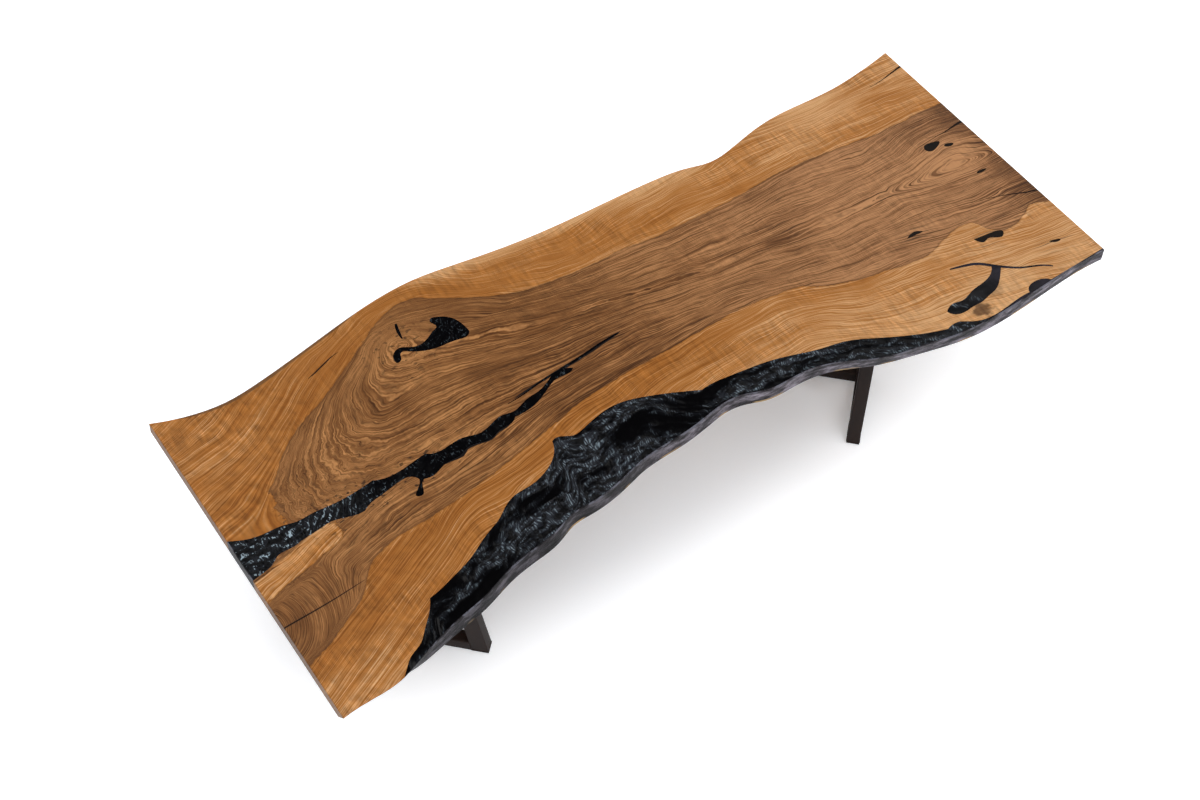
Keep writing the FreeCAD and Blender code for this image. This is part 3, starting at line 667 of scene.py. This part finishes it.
def make_walnut():
    material, s, shader = new_material("walnut", Specular_IOR_Level=0.22)
    x, y, z = s.object_place()
    borders = use_group(s, heartwood_borders)
    river, wedge = borders["River"], borders["Wedge"]
    figure = use_group(s, growth_rings, Depth=borders["Depth"], River=river, Wedge=wedge)
    rings = figure["Rings"]
    grains = {name: grain(s, rings, x, y, *scale) for name, scale in GRAINS.items()}
    patches = s.waves((x, y, z), (2.6, 5.0, 1.0))
    ragged = s.times(s.swing(grains["lines"], 0.05), s.close(wedge, 0.0, 0.01, 0.03))
    depth = s.plus(borders["Depth"], ragged)
    heart = s.rise(depth, -0.0025, 0.0025)

    dark = s.ramp(heart_value(s, grains, x, patches, figure, river), HEARTWOOD)
    # Partly painted sheen: the cooler tint at the right end also stands for the sheen of the light
    # there.
    tint = s.mix(s.rise(x, -0.6, 0.8), LEFT_TINT, RIGHT_TINT_AND_SHEEN)
    pale = s.ramp(sap_value(s, grains, x, y, patches, depth, wedge), SAPWOOD)
    colour = s.mix(heart, pale, s.mix(1.0, dark, tint, "MULTIPLY"))
    years = draw_years(s, rings, x, y)
    colour = mark_rings(s, colour, years, x, depth, heart, river, figure)
    colour = mark_spots(s, colour, grains, x, y, z, river, figure)
    colour = mark_cracks(s, colour, x, y)
    # Painted shade: a darker strip along the far-left live edge stands for the shade on its bevel.
    wane_shade = s.rise(s.minus(y, s.along(x, FAR_WANE_SHADE_LINE)), -0.0015, 0.0015)
    wane_shade = s.times(wane_shade, s.plus(0.8, s.swing(grains["threads"], 0.5)))
    colour = s.mix(wane_shade, colour, PAINTED_WANE_SHADE)
    colour = s.shade(colour, figure_light(s, x, y, z, heart, grains["pores"]))

    side = s.fall(s.facing("Z"), 0.55, 0.9)
    end = s.rise(s.facing("X"), 0.75, 0.95)
    colour = s.mix(s.times(side, 0.35), colour, SIDE_WOOD)
    colour = s.mix(s.times(end, 0.5), colour, END_GRAIN)
    roughness = s.plus(0.44, s.swing(grains["threads"], 0.2), s.times(side, 0.15))
    height = s.plus(s.times(grains["threads"], 0.6), s.times(grains["pores"], -0.5))
    s.supply(shader, Base_Color=colour, Roughness=roughness,
             Normal=s.bump(height, GRAIN_DEPTH, 0.22))
    return material


dress(make_walnut(), "walnut_slab")
print("walnut on the slab")

# %% [markdown]
# ## The black resin: ripples
# The resin was cast against the broken edge of the slab and polished. Under its flat, glossy skin
# the pigment has set in combed strokes that stand square to the wood, like feathers, and in the
# river it has set in crinkles. Their bright crests are painted glints in the colour, and a broad
# painted sheen lies over them. The strokes are noise in two coordinates: the distance from the
# wood, and the place along its edge. Both drift a little, so that the strokes bend. Real ripples
# could be sculpted, but they would spoil the flat skin that the polish gave the resin.

# %% Ripples in the resin
WOOD_LINE = [
    (-1.25, -0.55), (-1.10, -0.55), (-1.03, -0.486), (-0.97, -0.444), (-0.92, -0.373),
    (-0.84, -0.352), (-0.73, -0.307), (-0.62, -0.245), (-0.53, -0.225), (-0.45, -0.194),
    (-0.41, -0.139), (-0.36, -0.152), (-0.275, -0.136), (-0.17, -0.135), (-0.045, -0.186),
    (0.01, -0.214), (0.11, -0.217), (0.21, -0.231), (0.29, -0.252), (0.43, -0.29),
    (0.52, -0.336), (0.60, -0.372), (0.69, -0.409), (0.80, -0.436), (1.25, -0.42),
]
RIVER_SIDE = (-0.13, -0.11)
DOME = (-0.298, -0.287)
RESIN_LIFE = [(-1.25, -0.12), (-0.95, -0.13), (-0.78, -0.04), (-0.5, 0.02), (-0.35, 0.05),
              (-0.2, -0.06), (0.0, -0.04), (0.3, 0.03), (0.6, 0.0), (1.25, -0.10)]


def draw_ripples():
    """Painted glints on the pigment's strokes, a painted broad sheen,
    and the height of the surface below the skin.
    """
    tree, s, _, made = new_group("resin_ripples", [], ["Crests", "Sheen", "Relief"])
    x, y, z = s.object_place()
    drift = s.swing(s.waves((x, y, z), (8, 8, 1), detail=3.0), 1.0)
    drift_two = s.swing(s.waves((x, y, 5.0), (8, 8, 1), detail=3.0), 1.0)
    across = s.plus(s.minus(s.along(x, WOOD_LINE), y), s.times(drift, 0.07))
    along = s.plus(x, s.times(drift_two, 0.10))
    combed = s.math("SINE", s.plus(s.times(along, 820.0), s.times(across, 190.0)))
    strokes = s.plus(s.waves((along, across), (260, 60)), s.times(combed, 0.07))
    crinkles = s.close(s.waves((x, y, drift), (85, 40, 2)), 0.5, 0.0, 0.05)
    scales = s.waves((along, across), (38, 75))
    folds = s.waves((along, across), (5, 17))

    inland = s.rise(y, *RIVER_SIDE)
    front = s.rise(s.plus(folds, s.along(x, RESIN_LIFE)), 0.38, 0.58)
    front = s.times(front, s.fall(x, 0.72, 0.92))
    by_the_end = s.scaled(s.fall(x, -1.02, -0.80), 0.9, 0.1)
    lively = s.between(inland, front, by_the_end)
    # Painted glints: thin bright crests of the strokes and of the crinkles.
    glints = s.between(inland, s.times(s.rise(strokes, 0.50, 0.66), 0.42), crinkles)
    painted_glints = s.times(glints, s.rise(scales, s.between(inland, 0.46, 0.50), 0.68), lively)
    # Painted sheen: a broad soft reflection where the pigment is lively.
    sheen = s.times(s.rise(scales, 0.36, 0.66), lively, s.scaled(inland, -0.5, 1.0))

    dome = s.fall(radius_about(s, x, y, DOME, 1.0), 0.02, 0.05)
    ripples = s.plus(s.times(strokes, 0.0028), s.times(scales, 0.0022),
                     s.times(crinkles, inland, 0.0008))
    relief = s.plus(s.times(ripples, lively), s.times(folds, 0.008), s.times(drift, 0.008),
                    s.times(dome, 0.003))
    s.supply(made, Crests=painted_glints, Sheen=sheen, Relief=relief)
    return tree


resin_ripples = draw_ripples()
print("ripples drawn with", len(resin_ripples.nodes), "nodes")

# %% [markdown]
# ## The black resin: skin and side
# A clear coat stays flat over the ripples, so that their sparkle, partly painted into the colour,
# seems to lie deeper than the surface. At the right end the resin is calm, and a violet cloud is
# painted in it as a reflection. The near side was only sanded: it is grey and worn, with a painted
# sheen in its mottle and painted light that makes it lighter towards the right end, a painted
# highlight along its upper rim, and a few gold streaks of wood that show through at the lower
# one. It could be a material of its own, but the solid has one slot, so a mask of the faces that
# look sideways does it.

# %% The resin finish
INK = (0.0006, 0.0005, 0.0009, 1)
PAINTED_SHEEN_SLATE = (0.024, 0.027, 0.035, 1)
PEARL_GLINT = (0.42, 0.54, 0.62, 1)
# Sanded grey; its brightest stop is partly a painted sheen.
WORN_SIDE_AND_SHEEN = [(0.38, (0.004, 0.0033, 0.0040)), (0.50, (0.034, 0.0295, 0.0340)),
             (0.66, (0.160, 0.144, 0.166))]
PAINTED_VIOLET_REFLECTION = [(0.36, (0.0016, 0.0011, 0.0022)), (0.66, (0.022, 0.019, 0.028))]
RIM_LIGHT = (0.13, 0.13, 0.16, 1)
WOOD_STREAK = (0.48, 0.32, 0.16, 1)


def side_of_resin(s, x, z, wear_and_sheen):
    """The sanded side: grey wear with a painted sheen, painted light towards the right end,
    a painted highlight along the upper rim, and wood streaks at the lower one.
    """
    # Painted light: the side is made lighter towards the right end.
    lighter = s.scaled(s.rise(x, -0.3, 0.0), 1.3, 0.8)
    colour = s.shade(s.ramp(wear_and_sheen, WORN_SIDE_AND_SHEEN), lighter)
    lower_rim = s.fall(z, slab_low.z + 0.006, slab_low.z + 0.009)
    wood = s.rise(s.waves((x, 3.0), (9, 1), detail=1.0), 0.52, 0.60)
    colour = s.mix(s.times(lower_rim, wood), colour, WOOD_STREAK)
    # Painted highlight: a bright line along the upper rim.
    upper_rim_highlight = s.rise(z, TOP - 0.006, TOP - 0.003)
    return s.mix(s.times(upper_rim_highlight, s.rise(wear_and_sheen, 0.46, 0.56)), colour, RIM_LIGHT)


def make_resin():
    material, s, shader = new_material("black_resin", Coat_Roughness=0.04, Coat_IOR=1.4,
                                       Specular_IOR_Level=0.12)
    x, y, z = s.object_place()
    ripples = use_group(s, resin_ripples)
    # Painted sheen: a grey-blue reflection mixed into the black.
    colour = s.mix(ripples["Sheen"], INK, PAINTED_SHEEN_SLATE)
    # Painted glints: a highlight colour mixed in on the bright crests.
    colour = s.mix(ripples["Crests"], colour, PEARL_GLINT)
    # Painted reflection: the violet cloud at the calm right end stands for a lamp mirrored there.
    cloud = s.waves((x, y, z), (11, 11, 1), detail=3.0)
    calm = s.rise(x, 0.80, 0.90)
    colour = s.mix(calm, colour, s.ramp(cloud, PAINTED_VIOLET_REFLECTION))

    side = s.fall(s.facing("Z"), 0.75, 0.95)
    wear_and_sheen = s.waves((x, y, z), (14, 14, 40), detail=5.0, roughness=0.7)
    colour = s.mix(side, colour, side_of_resin(s, x, z, wear_and_sheen))
    coat = s.between(side, s.scaled(calm, -0.1, 0.2), 0.0)
    relief = s.plus(s.times(ripples["Relief"], s.minus(1.0, side)), s.times(wear_and_sheen, side, 0.004))
    s.supply(shader, Base_Color=colour, Roughness=s.between(side, 0.25, 0.5), Coat_Weight=coat,
             Normal=s.bump(relief, 1.0))
    return material


RESIN_NODES = ["front_edge_resin", "river_resin", "knot_resin", "knot_slit_resin",
               "branch_scar_resin"]
dress(make_resin(), *RESIN_NODES)
print("resin on", len(RESIN_NODES), "pieces")

# %% [markdown]
# ## Powder coat, zinc, brass, nylon and filled bark
# The pedestals are sprayed with a brown-black powder that bakes to a fine, dry texture. The bolts
# and washers are zinc plated, the inserts are turned brass and the glides are moulded nylon. The
# small pockets and checks of the slab hold resin that was mixed with bark dust and sanded dull.
# They share one speckle, built once as a node group and placed in each with its own grain size.

# %% A shared speckle


def draw_speckle():
    """Fine grains and soft clouds on a surface, and the grains alone as a height."""
    tree, s, given, made = new_group("speckle", ["Grain", "Cloud"], ["Mottle", "Height"])
    place = s.add("TexCoord").outputs["Object"]
    fine = s.add("TexNoise", {"Vector": place, "Scale": given["Grain"]}).outputs["Fac"]
    cloud = s.add("TexNoise", {"Vector": place, "Scale": given["Cloud"]}).outputs["Fac"]
    s.supply(made, Mottle=s.plus(s.times(fine, 0.6), s.times(cloud, 0.4)), Height=fine)
    return tree


speckle = draw_speckle()


def make_speckled(name, scales, dark, pale, rough, relief, **constants):
    """A finish that wanders between two colours and two roughnesses."""
    material, s, shader = new_material(name, **constants)
    grains = use_group(s, speckle, Grain=scales[0], Cloud=scales[1])
    colour = s.ramp(grains["Mottle"], [(0.3, dark), (0.7, pale)])
    roughness = s.scaled(grains["Mottle"], rough[1] - rough[0], rough[0])
    s.supply(shader, Base_Color=colour, Roughness=roughness,
             Normal=s.bump(grains["Height"], relief, 0.6))
    return material


powder_coat = make_speckled("powder_coat", (830, 12), (0.011, 0.0054, 0.0040),
                            (0.022, 0.0118, 0.0088), (0.5, 0.68), 0.0004, Specular_IOR_Level=0.2)
zinc = make_speckled("zinc_hardware", (500, 50), (0.45, 0.45, 0.44), (0.66, 0.66, 0.63),
                     (0.22, 0.42), 0.0001, Metallic=1.0)
brass = make_speckled("brass_insert", (1000, 100), (0.52, 0.36, 0.14), (0.74, 0.55, 0.25),
                      (0.2, 0.4), 0.0001, Metallic=1.0)
nylon = make_speckled("glide_nylon", (1250, 50), (0.014, 0.014, 0.014), (0.030, 0.030, 0.030),
                      (0.45, 0.65), 0.0002)
bark_fill = make_speckled("bark_fill", (300, 40), (0.0016, 0.0011, 0.0009),
                          (0.0120, 0.0075, 0.0048), (0.55, 0.8), 0.0006, Specular_IOR_Level=0.15)
dress(brass, "left_threaded_inserts", "right_threaded_inserts")
dress(bark_fill, "bark_pocket_fills", "drying_check_fills")
print("five speckled finishes")

# %% [markdown]
# ## Steel tubes with rounded corners
# Square tube is rolled from strip, so its long corners are round, while its ends are sharp from
# the saw. Each tube is copied from the frame, its triangles are joined into flat faces again, and
# only the long outer edges get a bevel. A Bevel modifier with an angle limit would be quicker to
# set, but it would round the saw cuts too. The plates are sheared from flat bar, so all of their
# straight edges are broken a little.

# %% Round the steel
TUBE_CORNER = 0.004
PLATE_BREAK = 0.0008
SHORTEST_PLATE_EDGE = 0.006
SHARP_ANGLE = 32


def merged_copy(name):
    """A copy of a frame mesh with its loose triangles joined into flat faces."""
    work = bmesh.new()
    work.from_mesh(nodes[name].data)
    bmesh.ops.remove_doubles(work, verts=work.verts, dist=1e-5)
    bmesh.ops.dissolve_limit(work, angle_limit=math.radians(0.5), verts=work.verts,
                             edges=work.edges)
    return work


def outer_edges(work):
    """Edges where two faces meet at an outward corner."""
    return [edge for edge in work.edges if edge.calc_face_angle_signed(0) > 0.5]


def long_edges(work):
    """The outer edges that run the length of a tube."""
    def line(edge):
        return (edge.verts[1].co - edge.verts[0].co).normalized()
    edges = outer_edges(work)
    axis = line(max(edges, key=lambda edge: edge.calc_length()))
    return [edge for edge in edges if abs(line(edge).dot(axis)) > 0.999]


def round_edges(work, edges, width, segments):
    bmesh.ops.bevel(work, geom=edges, offset=width, offset_type="OFFSET", affect="EDGES",
                    segments=segments, profile=0.5, material=-1)


def add_piece(name, work, finish, slot, body, *replaced):
    """Turn a finished bmesh into a piece that rides on a body of the frame."""
    mesh = bpy.data.meshes.new(name)
    work.to_mesh(mesh)
    work.free()
    mesh.materials.append(finish)
    mesh.shade_smooth()
    mesh.set_sharp_from_angle(angle=math.radians(SHARP_ANGLE))
    piece = bpy.data.objects.new(name, mesh)
    scene.collection.objects.link(piece)
    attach(piece, body)
    if replaced:
        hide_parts(*replaced)


TUBES = [name for name in nodes if name.endswith(("_post", "_bar", "_spine"))]
PLATES = [name for name in nodes if name.endswith("_plate")]
for name in TUBES:
    work = merged_copy(name)
    round_edges(work, long_edges(work), TUBE_CORNER, 4)
    add_piece(f"{name}_rounded", work, powder_coat, "powder_coat", "table", name)
for name in PLATES:
    work = merged_copy(name)
    edges = [edge for edge in outer_edges(work) if edge.calc_length() > SHORTEST_PLATE_EDGE]
    round_edges(work, edges, PLATE_BREAK, 2)
    add_piece(f"{name}_broken_edges", work, powder_coat, "powder_coat", "table", name)
print(len(TUBES), "tubes and", len(PLATES), "plates rounded")

# %% [markdown]
# ## Weld beads
# Every tube ends on another piece of steel and is welded to it all round. A bead is a thin string
# of small waves, one for each drop of the weld. A curve with a round bevel gives it: its line is
# the outline of the tube's end, and its radius goes up and down from point to point.

# %% Weld the tubes
BEAD_RADIUS = 0.0016
BEAD_STEP = 0.0025
BEAD_WAVE = (1.0, 0.82)


def end_outlines(name):
    """The four corners of a tube at each of its two ends, in order round the tube."""
    work = merged_copy(name)
    edges = long_edges(work)
    first = edges[0].verts[0].co
    axis = (edges[0].verts[1].co - first).normalized()
    side = axis.orthogonal()
    ends = [sorted((vert.co.copy() for vert in edge.verts), key=axis.dot) for edge in edges]
    work.free()
    middle = sum((low + high for low, high in ends), Vector()) / (2 * len(ends))

    def turn(pair):
        spoke = (pair[0] + pair[1]) / 2 - middle
        return math.atan2(axis.cross(side).dot(spoke), side.dot(spoke))
    return zip(*sorted(ends, key=turn))


def add_bead(curve, corners):
    """One closed string of weld along the sides, which cuts the rounded corners short."""
    line = []
    for start, stop in zip(corners, corners[1:] + corners[:1]):
        length = (stop - start).length
        steps = 2 * round(length / BEAD_STEP / 2)
        for step in range(steps + 1):
            reach = TUBE_CORNER + (length - 2 * TUBE_CORNER) * step / steps
            line.append(start.lerp(stop, reach / length))
    bead = curve.splines.new("POLY")
    bead.points.add(len(line) - 1)
    for index, (point, place) in enumerate(zip(bead.points, line)):
        point.co = (*place, 1)
        point.radius = BEAD_WAVE[index % 2]
    bead.use_cyclic_u = True


for side in ("left", "right"):
    curve = bpy.data.curves.new(f"{side}_beads", "CURVE")
    curve.dimensions = "3D"
    curve.bevel_depth = BEAD_RADIUS
    curve.bevel_resolution = 1
    for name in TUBES:
        if name.startswith(side):
            for outline in end_outlines(name):
                add_bead(curve, list(outline))
    strings = bpy.data.objects.new(f"{side}_beads", curve)
    work = bmesh.new()
    work.from_mesh(bpy.data.meshes.new_from_object(strings))
    bpy.data.objects.remove(strings)
    add_piece(f"{side}_weld_beads", work, powder_coat, "powder_coat", "table")
    print(side, "pedestal welded with", len(curve.splines), "beads")

# %% [markdown]
# ## Turned hardware
# Bolts, washers and glides come from a lathe, so they are made like on one: a profile of radius
# and height is spun about an upright axis. A thread is a profile that goes in and out once for
# each pitch. On the real bolt it is a spiral, but at this size a stack of rings looks the same,
# and it closes without a seam.

# %% A lathe
def lathe(work, profile, x, y, steps):
    """Spin a profile of (radius, height) points about an upright axis."""
    points = [work.verts.new((x + radius, y, height)) for radius, height in profile]
    lines = [work.edges.new(pair) for pair in zip(points, points[1:])]
    bmesh.ops.spin(work, geom=points + lines, cent=(x, y, 0), axis=(0, 0, 1),
                   angle=2 * math.pi, steps=steps, use_merge=True)


def thread(radius, low, high, pitch):
    """The profile of a threaded rod, from the axis at one end to the axis at the other."""
    depth = 0.4 * pitch
    turns = int((high - low) / pitch)
    flanks = [(radius - depth * (step % 2 == 0), low + step * pitch / 2)
              for step in range(2 * turns + 1)]
    return [(0, low), *flanks, (0, high)]


def close_shells(work):
    """Merge the poles and seams that spinning leaves, and turn every face outwards."""
    bmesh.ops.remove_doubles(work, verts=work.verts, dist=1e-6)
    bmesh.ops.recalc_face_normals(work, faces=work.faces)


print("lathe ready")

# %% [markdown]
# ## Mounting bolts and washers
# Six hex bolts with broad washers hold each mounting plate under the slab. A hex head starts as a
# cone with six sides and equal ends, and a bevel breaks the rim of its lower face.

# %% Bolts and washers
BOLT_ROWS = (-0.105, 0.0, 0.105)
BOLT_COLUMNS = (-0.140, 0.140)
BOLT_RADIUS = 0.004
BOLT_PITCH = 0.00125
BOLT_STEPS = 20
HEAD_RADIUS = 0.0075
HEAD_BREAK = 0.0009
WASHER_RADIUS = 0.012
WASHER_HOLE = 0.0043
WASHER_BREAK = 0.0004
WASHER_STEPS = 40


def washer_profile(low, high):
    """A closed profile with both outer edges broken."""
    rim = WASHER_RADIUS - WASHER_BREAK
    return [(WASHER_HOLE, low), (rim, low), (WASHER_RADIUS, low + WASHER_BREAK),
            (WASHER_RADIUS, high - WASHER_BREAK), (rim, high), (WASHER_HOLE, high),
            (WASHER_HOLE, low)]


for side in ("left", "right"):
    plate_low, plate_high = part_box(f"{side}_mounting_plate")
    bolt_low, bolt_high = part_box(f"{side}_mounting_bolts")
    washer_low, washer_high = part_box(f"{side}_bolt_washers")
    middle = (plate_low + plate_high) / 2
    places = [(middle.x + dx, middle.y + dy) for dx in BOLT_ROWS for dy in BOLT_COLUMNS]
    low, high = washer_low.z, washer_high.z
    head_height = low - bolt_low.z
    head_middle = bolt_low.z + head_height / 2
    bolts, washers = bmesh.new(), bmesh.new()
    for x, y in places:
        bmesh.ops.create_cone(bolts, cap_ends=True, segments=6, radius1=HEAD_RADIUS,
                              radius2=HEAD_RADIUS, depth=head_height,
                              matrix=Matrix.Translation((x, y, head_middle)))
        lathe(washers, washer_profile(low, high), x, y, WASHER_STEPS)
    rim = [edge for edge in bolts.edges if all(vert.co.z < head_middle for vert in edge.verts)]
    round_edges(bolts, rim, HEAD_BREAK, 2)
    for x, y in places:
        lathe(bolts, thread(BOLT_RADIUS, low, bolt_high.z, BOLT_PITCH), x, y, BOLT_STEPS)
    close_shells(bolts)
    close_shells(washers)
    add_piece(f"{side}_hex_bolts", bolts, zinc, "zinc_hardware", "table",
              f"{side}_mounting_bolts")
    add_piece(f"{side}_turned_washers", washers, zinc, "zinc_hardware", "table",
              f"{side}_bolt_washers")
    print(side, "plate has", len(places), "bolts")

# %% [markdown]
# ## Levelling glides
# A glide is a steel stud in a moulded pad. Each one turns out of its foot by hand, so the rim of
# the pad has shallow hollows for the fingers. The pad is turned with a rounded profile, and then
# the rim is drawn in and out round the axis. Stud and pad move together.

# %% Glides
PAD_HEIGHT = 0.005
STUD_RADIUS = 0.005
STUD_PITCH = 0.0015
GRIPS = 10
GRIP_DEPTH = 0.0009
GRIP_START = 0.8
PAD_STEPS = 80
STUD_STEPS = 28


def pad_profile(radius, low):
    """A pad with a slightly hollow sole and a rounded rim."""
    heights = [(0.0, 0.0004), (0.65, 0.0002), (0.72, 0.0), (0.88, 0.0002), (0.96, 0.0010),
               (1.0, 0.0021), (1.0, 0.0032), (0.975, 0.0042), (0.93, 0.0048), (0.85, PAD_HEIGHT),
               (0.0, PAD_HEIGHT)]
    return [(share * radius, low + height) for share, height in heights]


for name in [name for name in nodes if name.endswith("_glide")]:
    low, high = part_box(name)
    x, y = (low.x + high.x) / 2, (low.y + high.y) / 2
    radius = (high.x - low.x) / 2
    pad = bmesh.new()
    lathe(pad, pad_profile(radius, low.z), x, y, PAD_STEPS)
    close_shells(pad)
    for vert in pad.verts:
        dx, dy = vert.co.x - x, vert.co.y - y
        reach = math.hypot(dx, dy)
        if reach > GRIP_START * radius:
            grip = (0.5 + 0.5 * math.cos(GRIPS * math.atan2(dy, dx))) ** 2
            vert.co.x -= GRIP_DEPTH * grip * dx / reach
            vert.co.y -= GRIP_DEPTH * grip * dy / reach
    add_piece(f"{name}_pad", pad, nylon, "glide_nylon", name, name)
    stud = bmesh.new()
    rod = thread(STUD_RADIUS, low.z + PAD_HEIGHT / 2, high.z, STUD_PITCH)
    lathe(stud, rod, x, y, STUD_STEPS)
    close_shells(stud)
    add_piece(f"{name}_stud", stud, zinc, "zinc_hardware", name)
    print(name, "turned")

# %% [markdown]
# ## Floor
# The table stands on plain white paper. The floor adds a little light of its own where the camera
# sees it, in gloss and metal too, and more of it away from the table, so that it is white where
# nothing shades it and keeps the soft shadow under the top. From below it is clear, so that the
# underside can be seen.

# %% The floor
FLOOR_SIZE = 30.0
FLOOR_COLOUR = (0.89, 0.925, 0.97, 1)
FLOOR_LIFT = 0.13
FLOOR_LIFT_AROUND = 0.37
SHADE_REACH = (1.1, 0.42)
SHADE_SHIFT = 0.36


def rays_of_sight(s):
    """Masks of the rays that come from the camera, and of those that gloss or glass sends on."""
    path = s.add("LightPath").outputs
    return path["Is Camera Ray"], s.math("MAXIMUM", path["Is Glossy Ray"], path["Is Transmission Ray"])


mesh = bpy.data.meshes.new("floor")
work = bmesh.new()
bmesh.ops.create_grid(work, x_segments=1, y_segments=1, size=FLOOR_SIZE / 2)
work.to_mesh(mesh)
work.free()
floor = bpy.data.objects.new("floor", mesh)
scene.collection.objects.link(floor)
paper, s, shader = new_material("floor_paper", Roughness=0.9, Specular_IOR_Level=0.0,
                                Base_Color=FLOOR_COLOUR, Emission_Color=(1, 1, 1, 1))
seen = s.math("MAXIMUM", *rays_of_sight(s))
x, y, _ = s.object_place()
outwards = s.length(s.scaled(x, 1 / SHADE_REACH[0]), s.scaled(y, 1 / SHADE_REACH[1], -SHADE_SHIFT))
lift = s.scaled(s.rise(outwards, 0.55, 1.4), FLOOR_LIFT_AROUND, FLOOR_LIFT)
s.supply(shader, Emission_Strength=s.times(seen, lift))
from_below = s.add("NewGeometry").outputs["Backfacing"]
clear = s.add("BsdfTransparent").outputs[0]
sheet = s.add("MixShader", {0: from_below, 1: shader.outputs["BSDF"], 2: clear}).outputs[0]
s.supply(s.tree.nodes["Material Output"], Surface=sheet)
mesh.materials.append(paper)
print("floor laid")

# %% [markdown]
# ## Light
# Three wide suns give an even light with soft shadows: a key and a fill from the front, and a
# weaker one from behind, which lays the shadow of the top towards the camera. A soft box at the
# right end is mirrored in the oiled wood there. Each sun's level is how brightly it lights a
# level floor, so the levels together stay near one and colours come out as they are written. The
# sky is white where the camera looks past the floor, and low down in gloss and metal too, like a
# backdrop round a dark ceiling, and it adds almost no light.

# %% Lamps and world
SUNS = [("key_sun", (-0.20, -0.40, 0.88), 0.52, 44), ("fill_sun", (0.36, -0.50, 0.78), 0.22, 50),
        ("back_sun", (-0.25, 0.48, 0.82), 0.22, 36)]
SOFT_BOX_PLACE = Vector((3.3, 1.6, 3.1))
SOFT_BOX_AIM = Vector((1.15, 0.0, TOP))
SOFT_BOX_POWER = 13
SKY_LEVEL = 0.04
BACKDROP_EDGE = (0.1, 0.3)


def add_lamp(name, lamp, direction, place=(0, 0, 0)):
    """Hang a lamp so that it shines from a direction."""
    holder = bpy.data.objects.new(name, lamp)
    holder.location = place
    holder.rotation_mode = "QUATERNION"
    holder.rotation_quaternion = direction.to_track_quat("Z", "Y")
    scene.collection.objects.link(holder)


for name, towards, level, spread in SUNS:
    sun = bpy.data.lights.new(name, "SUN")
    direction = Vector(towards).normalized()
    sun.energy = level * math.pi / direction.z
    sun.angle = math.radians(spread)
    add_lamp(name, sun, direction)
soft_box = bpy.data.lights.new("right_soft_box", "AREA")
soft_box.shape = "RECTANGLE"
soft_box.size, soft_box.size_y = 2.4, 2.0
soft_box.energy = SOFT_BOX_POWER
add_lamp("right_soft_box", soft_box, SOFT_BOX_PLACE - SOFT_BOX_AIM, SOFT_BOX_PLACE)
world = bpy.data.worlds.new("studio")
world.use_nodes = True
s = Steps(world.node_tree)
sky = world.node_tree.nodes["Background"]
from_camera, mirrored = rays_of_sight(s)
_, _, upward = s.object_place()
seen = s.math("MAXIMUM", from_camera, s.times(mirrored, s.fall(upward, *BACKDROP_EDGE)))
s.supply(sky, Color=(1, 1, 1, 1), Strength=s.scaled(seen, 1 - SKY_LEVEL, SKY_LEVEL))
scene.world = world
print(len(bpy.data.lights), "lamps")
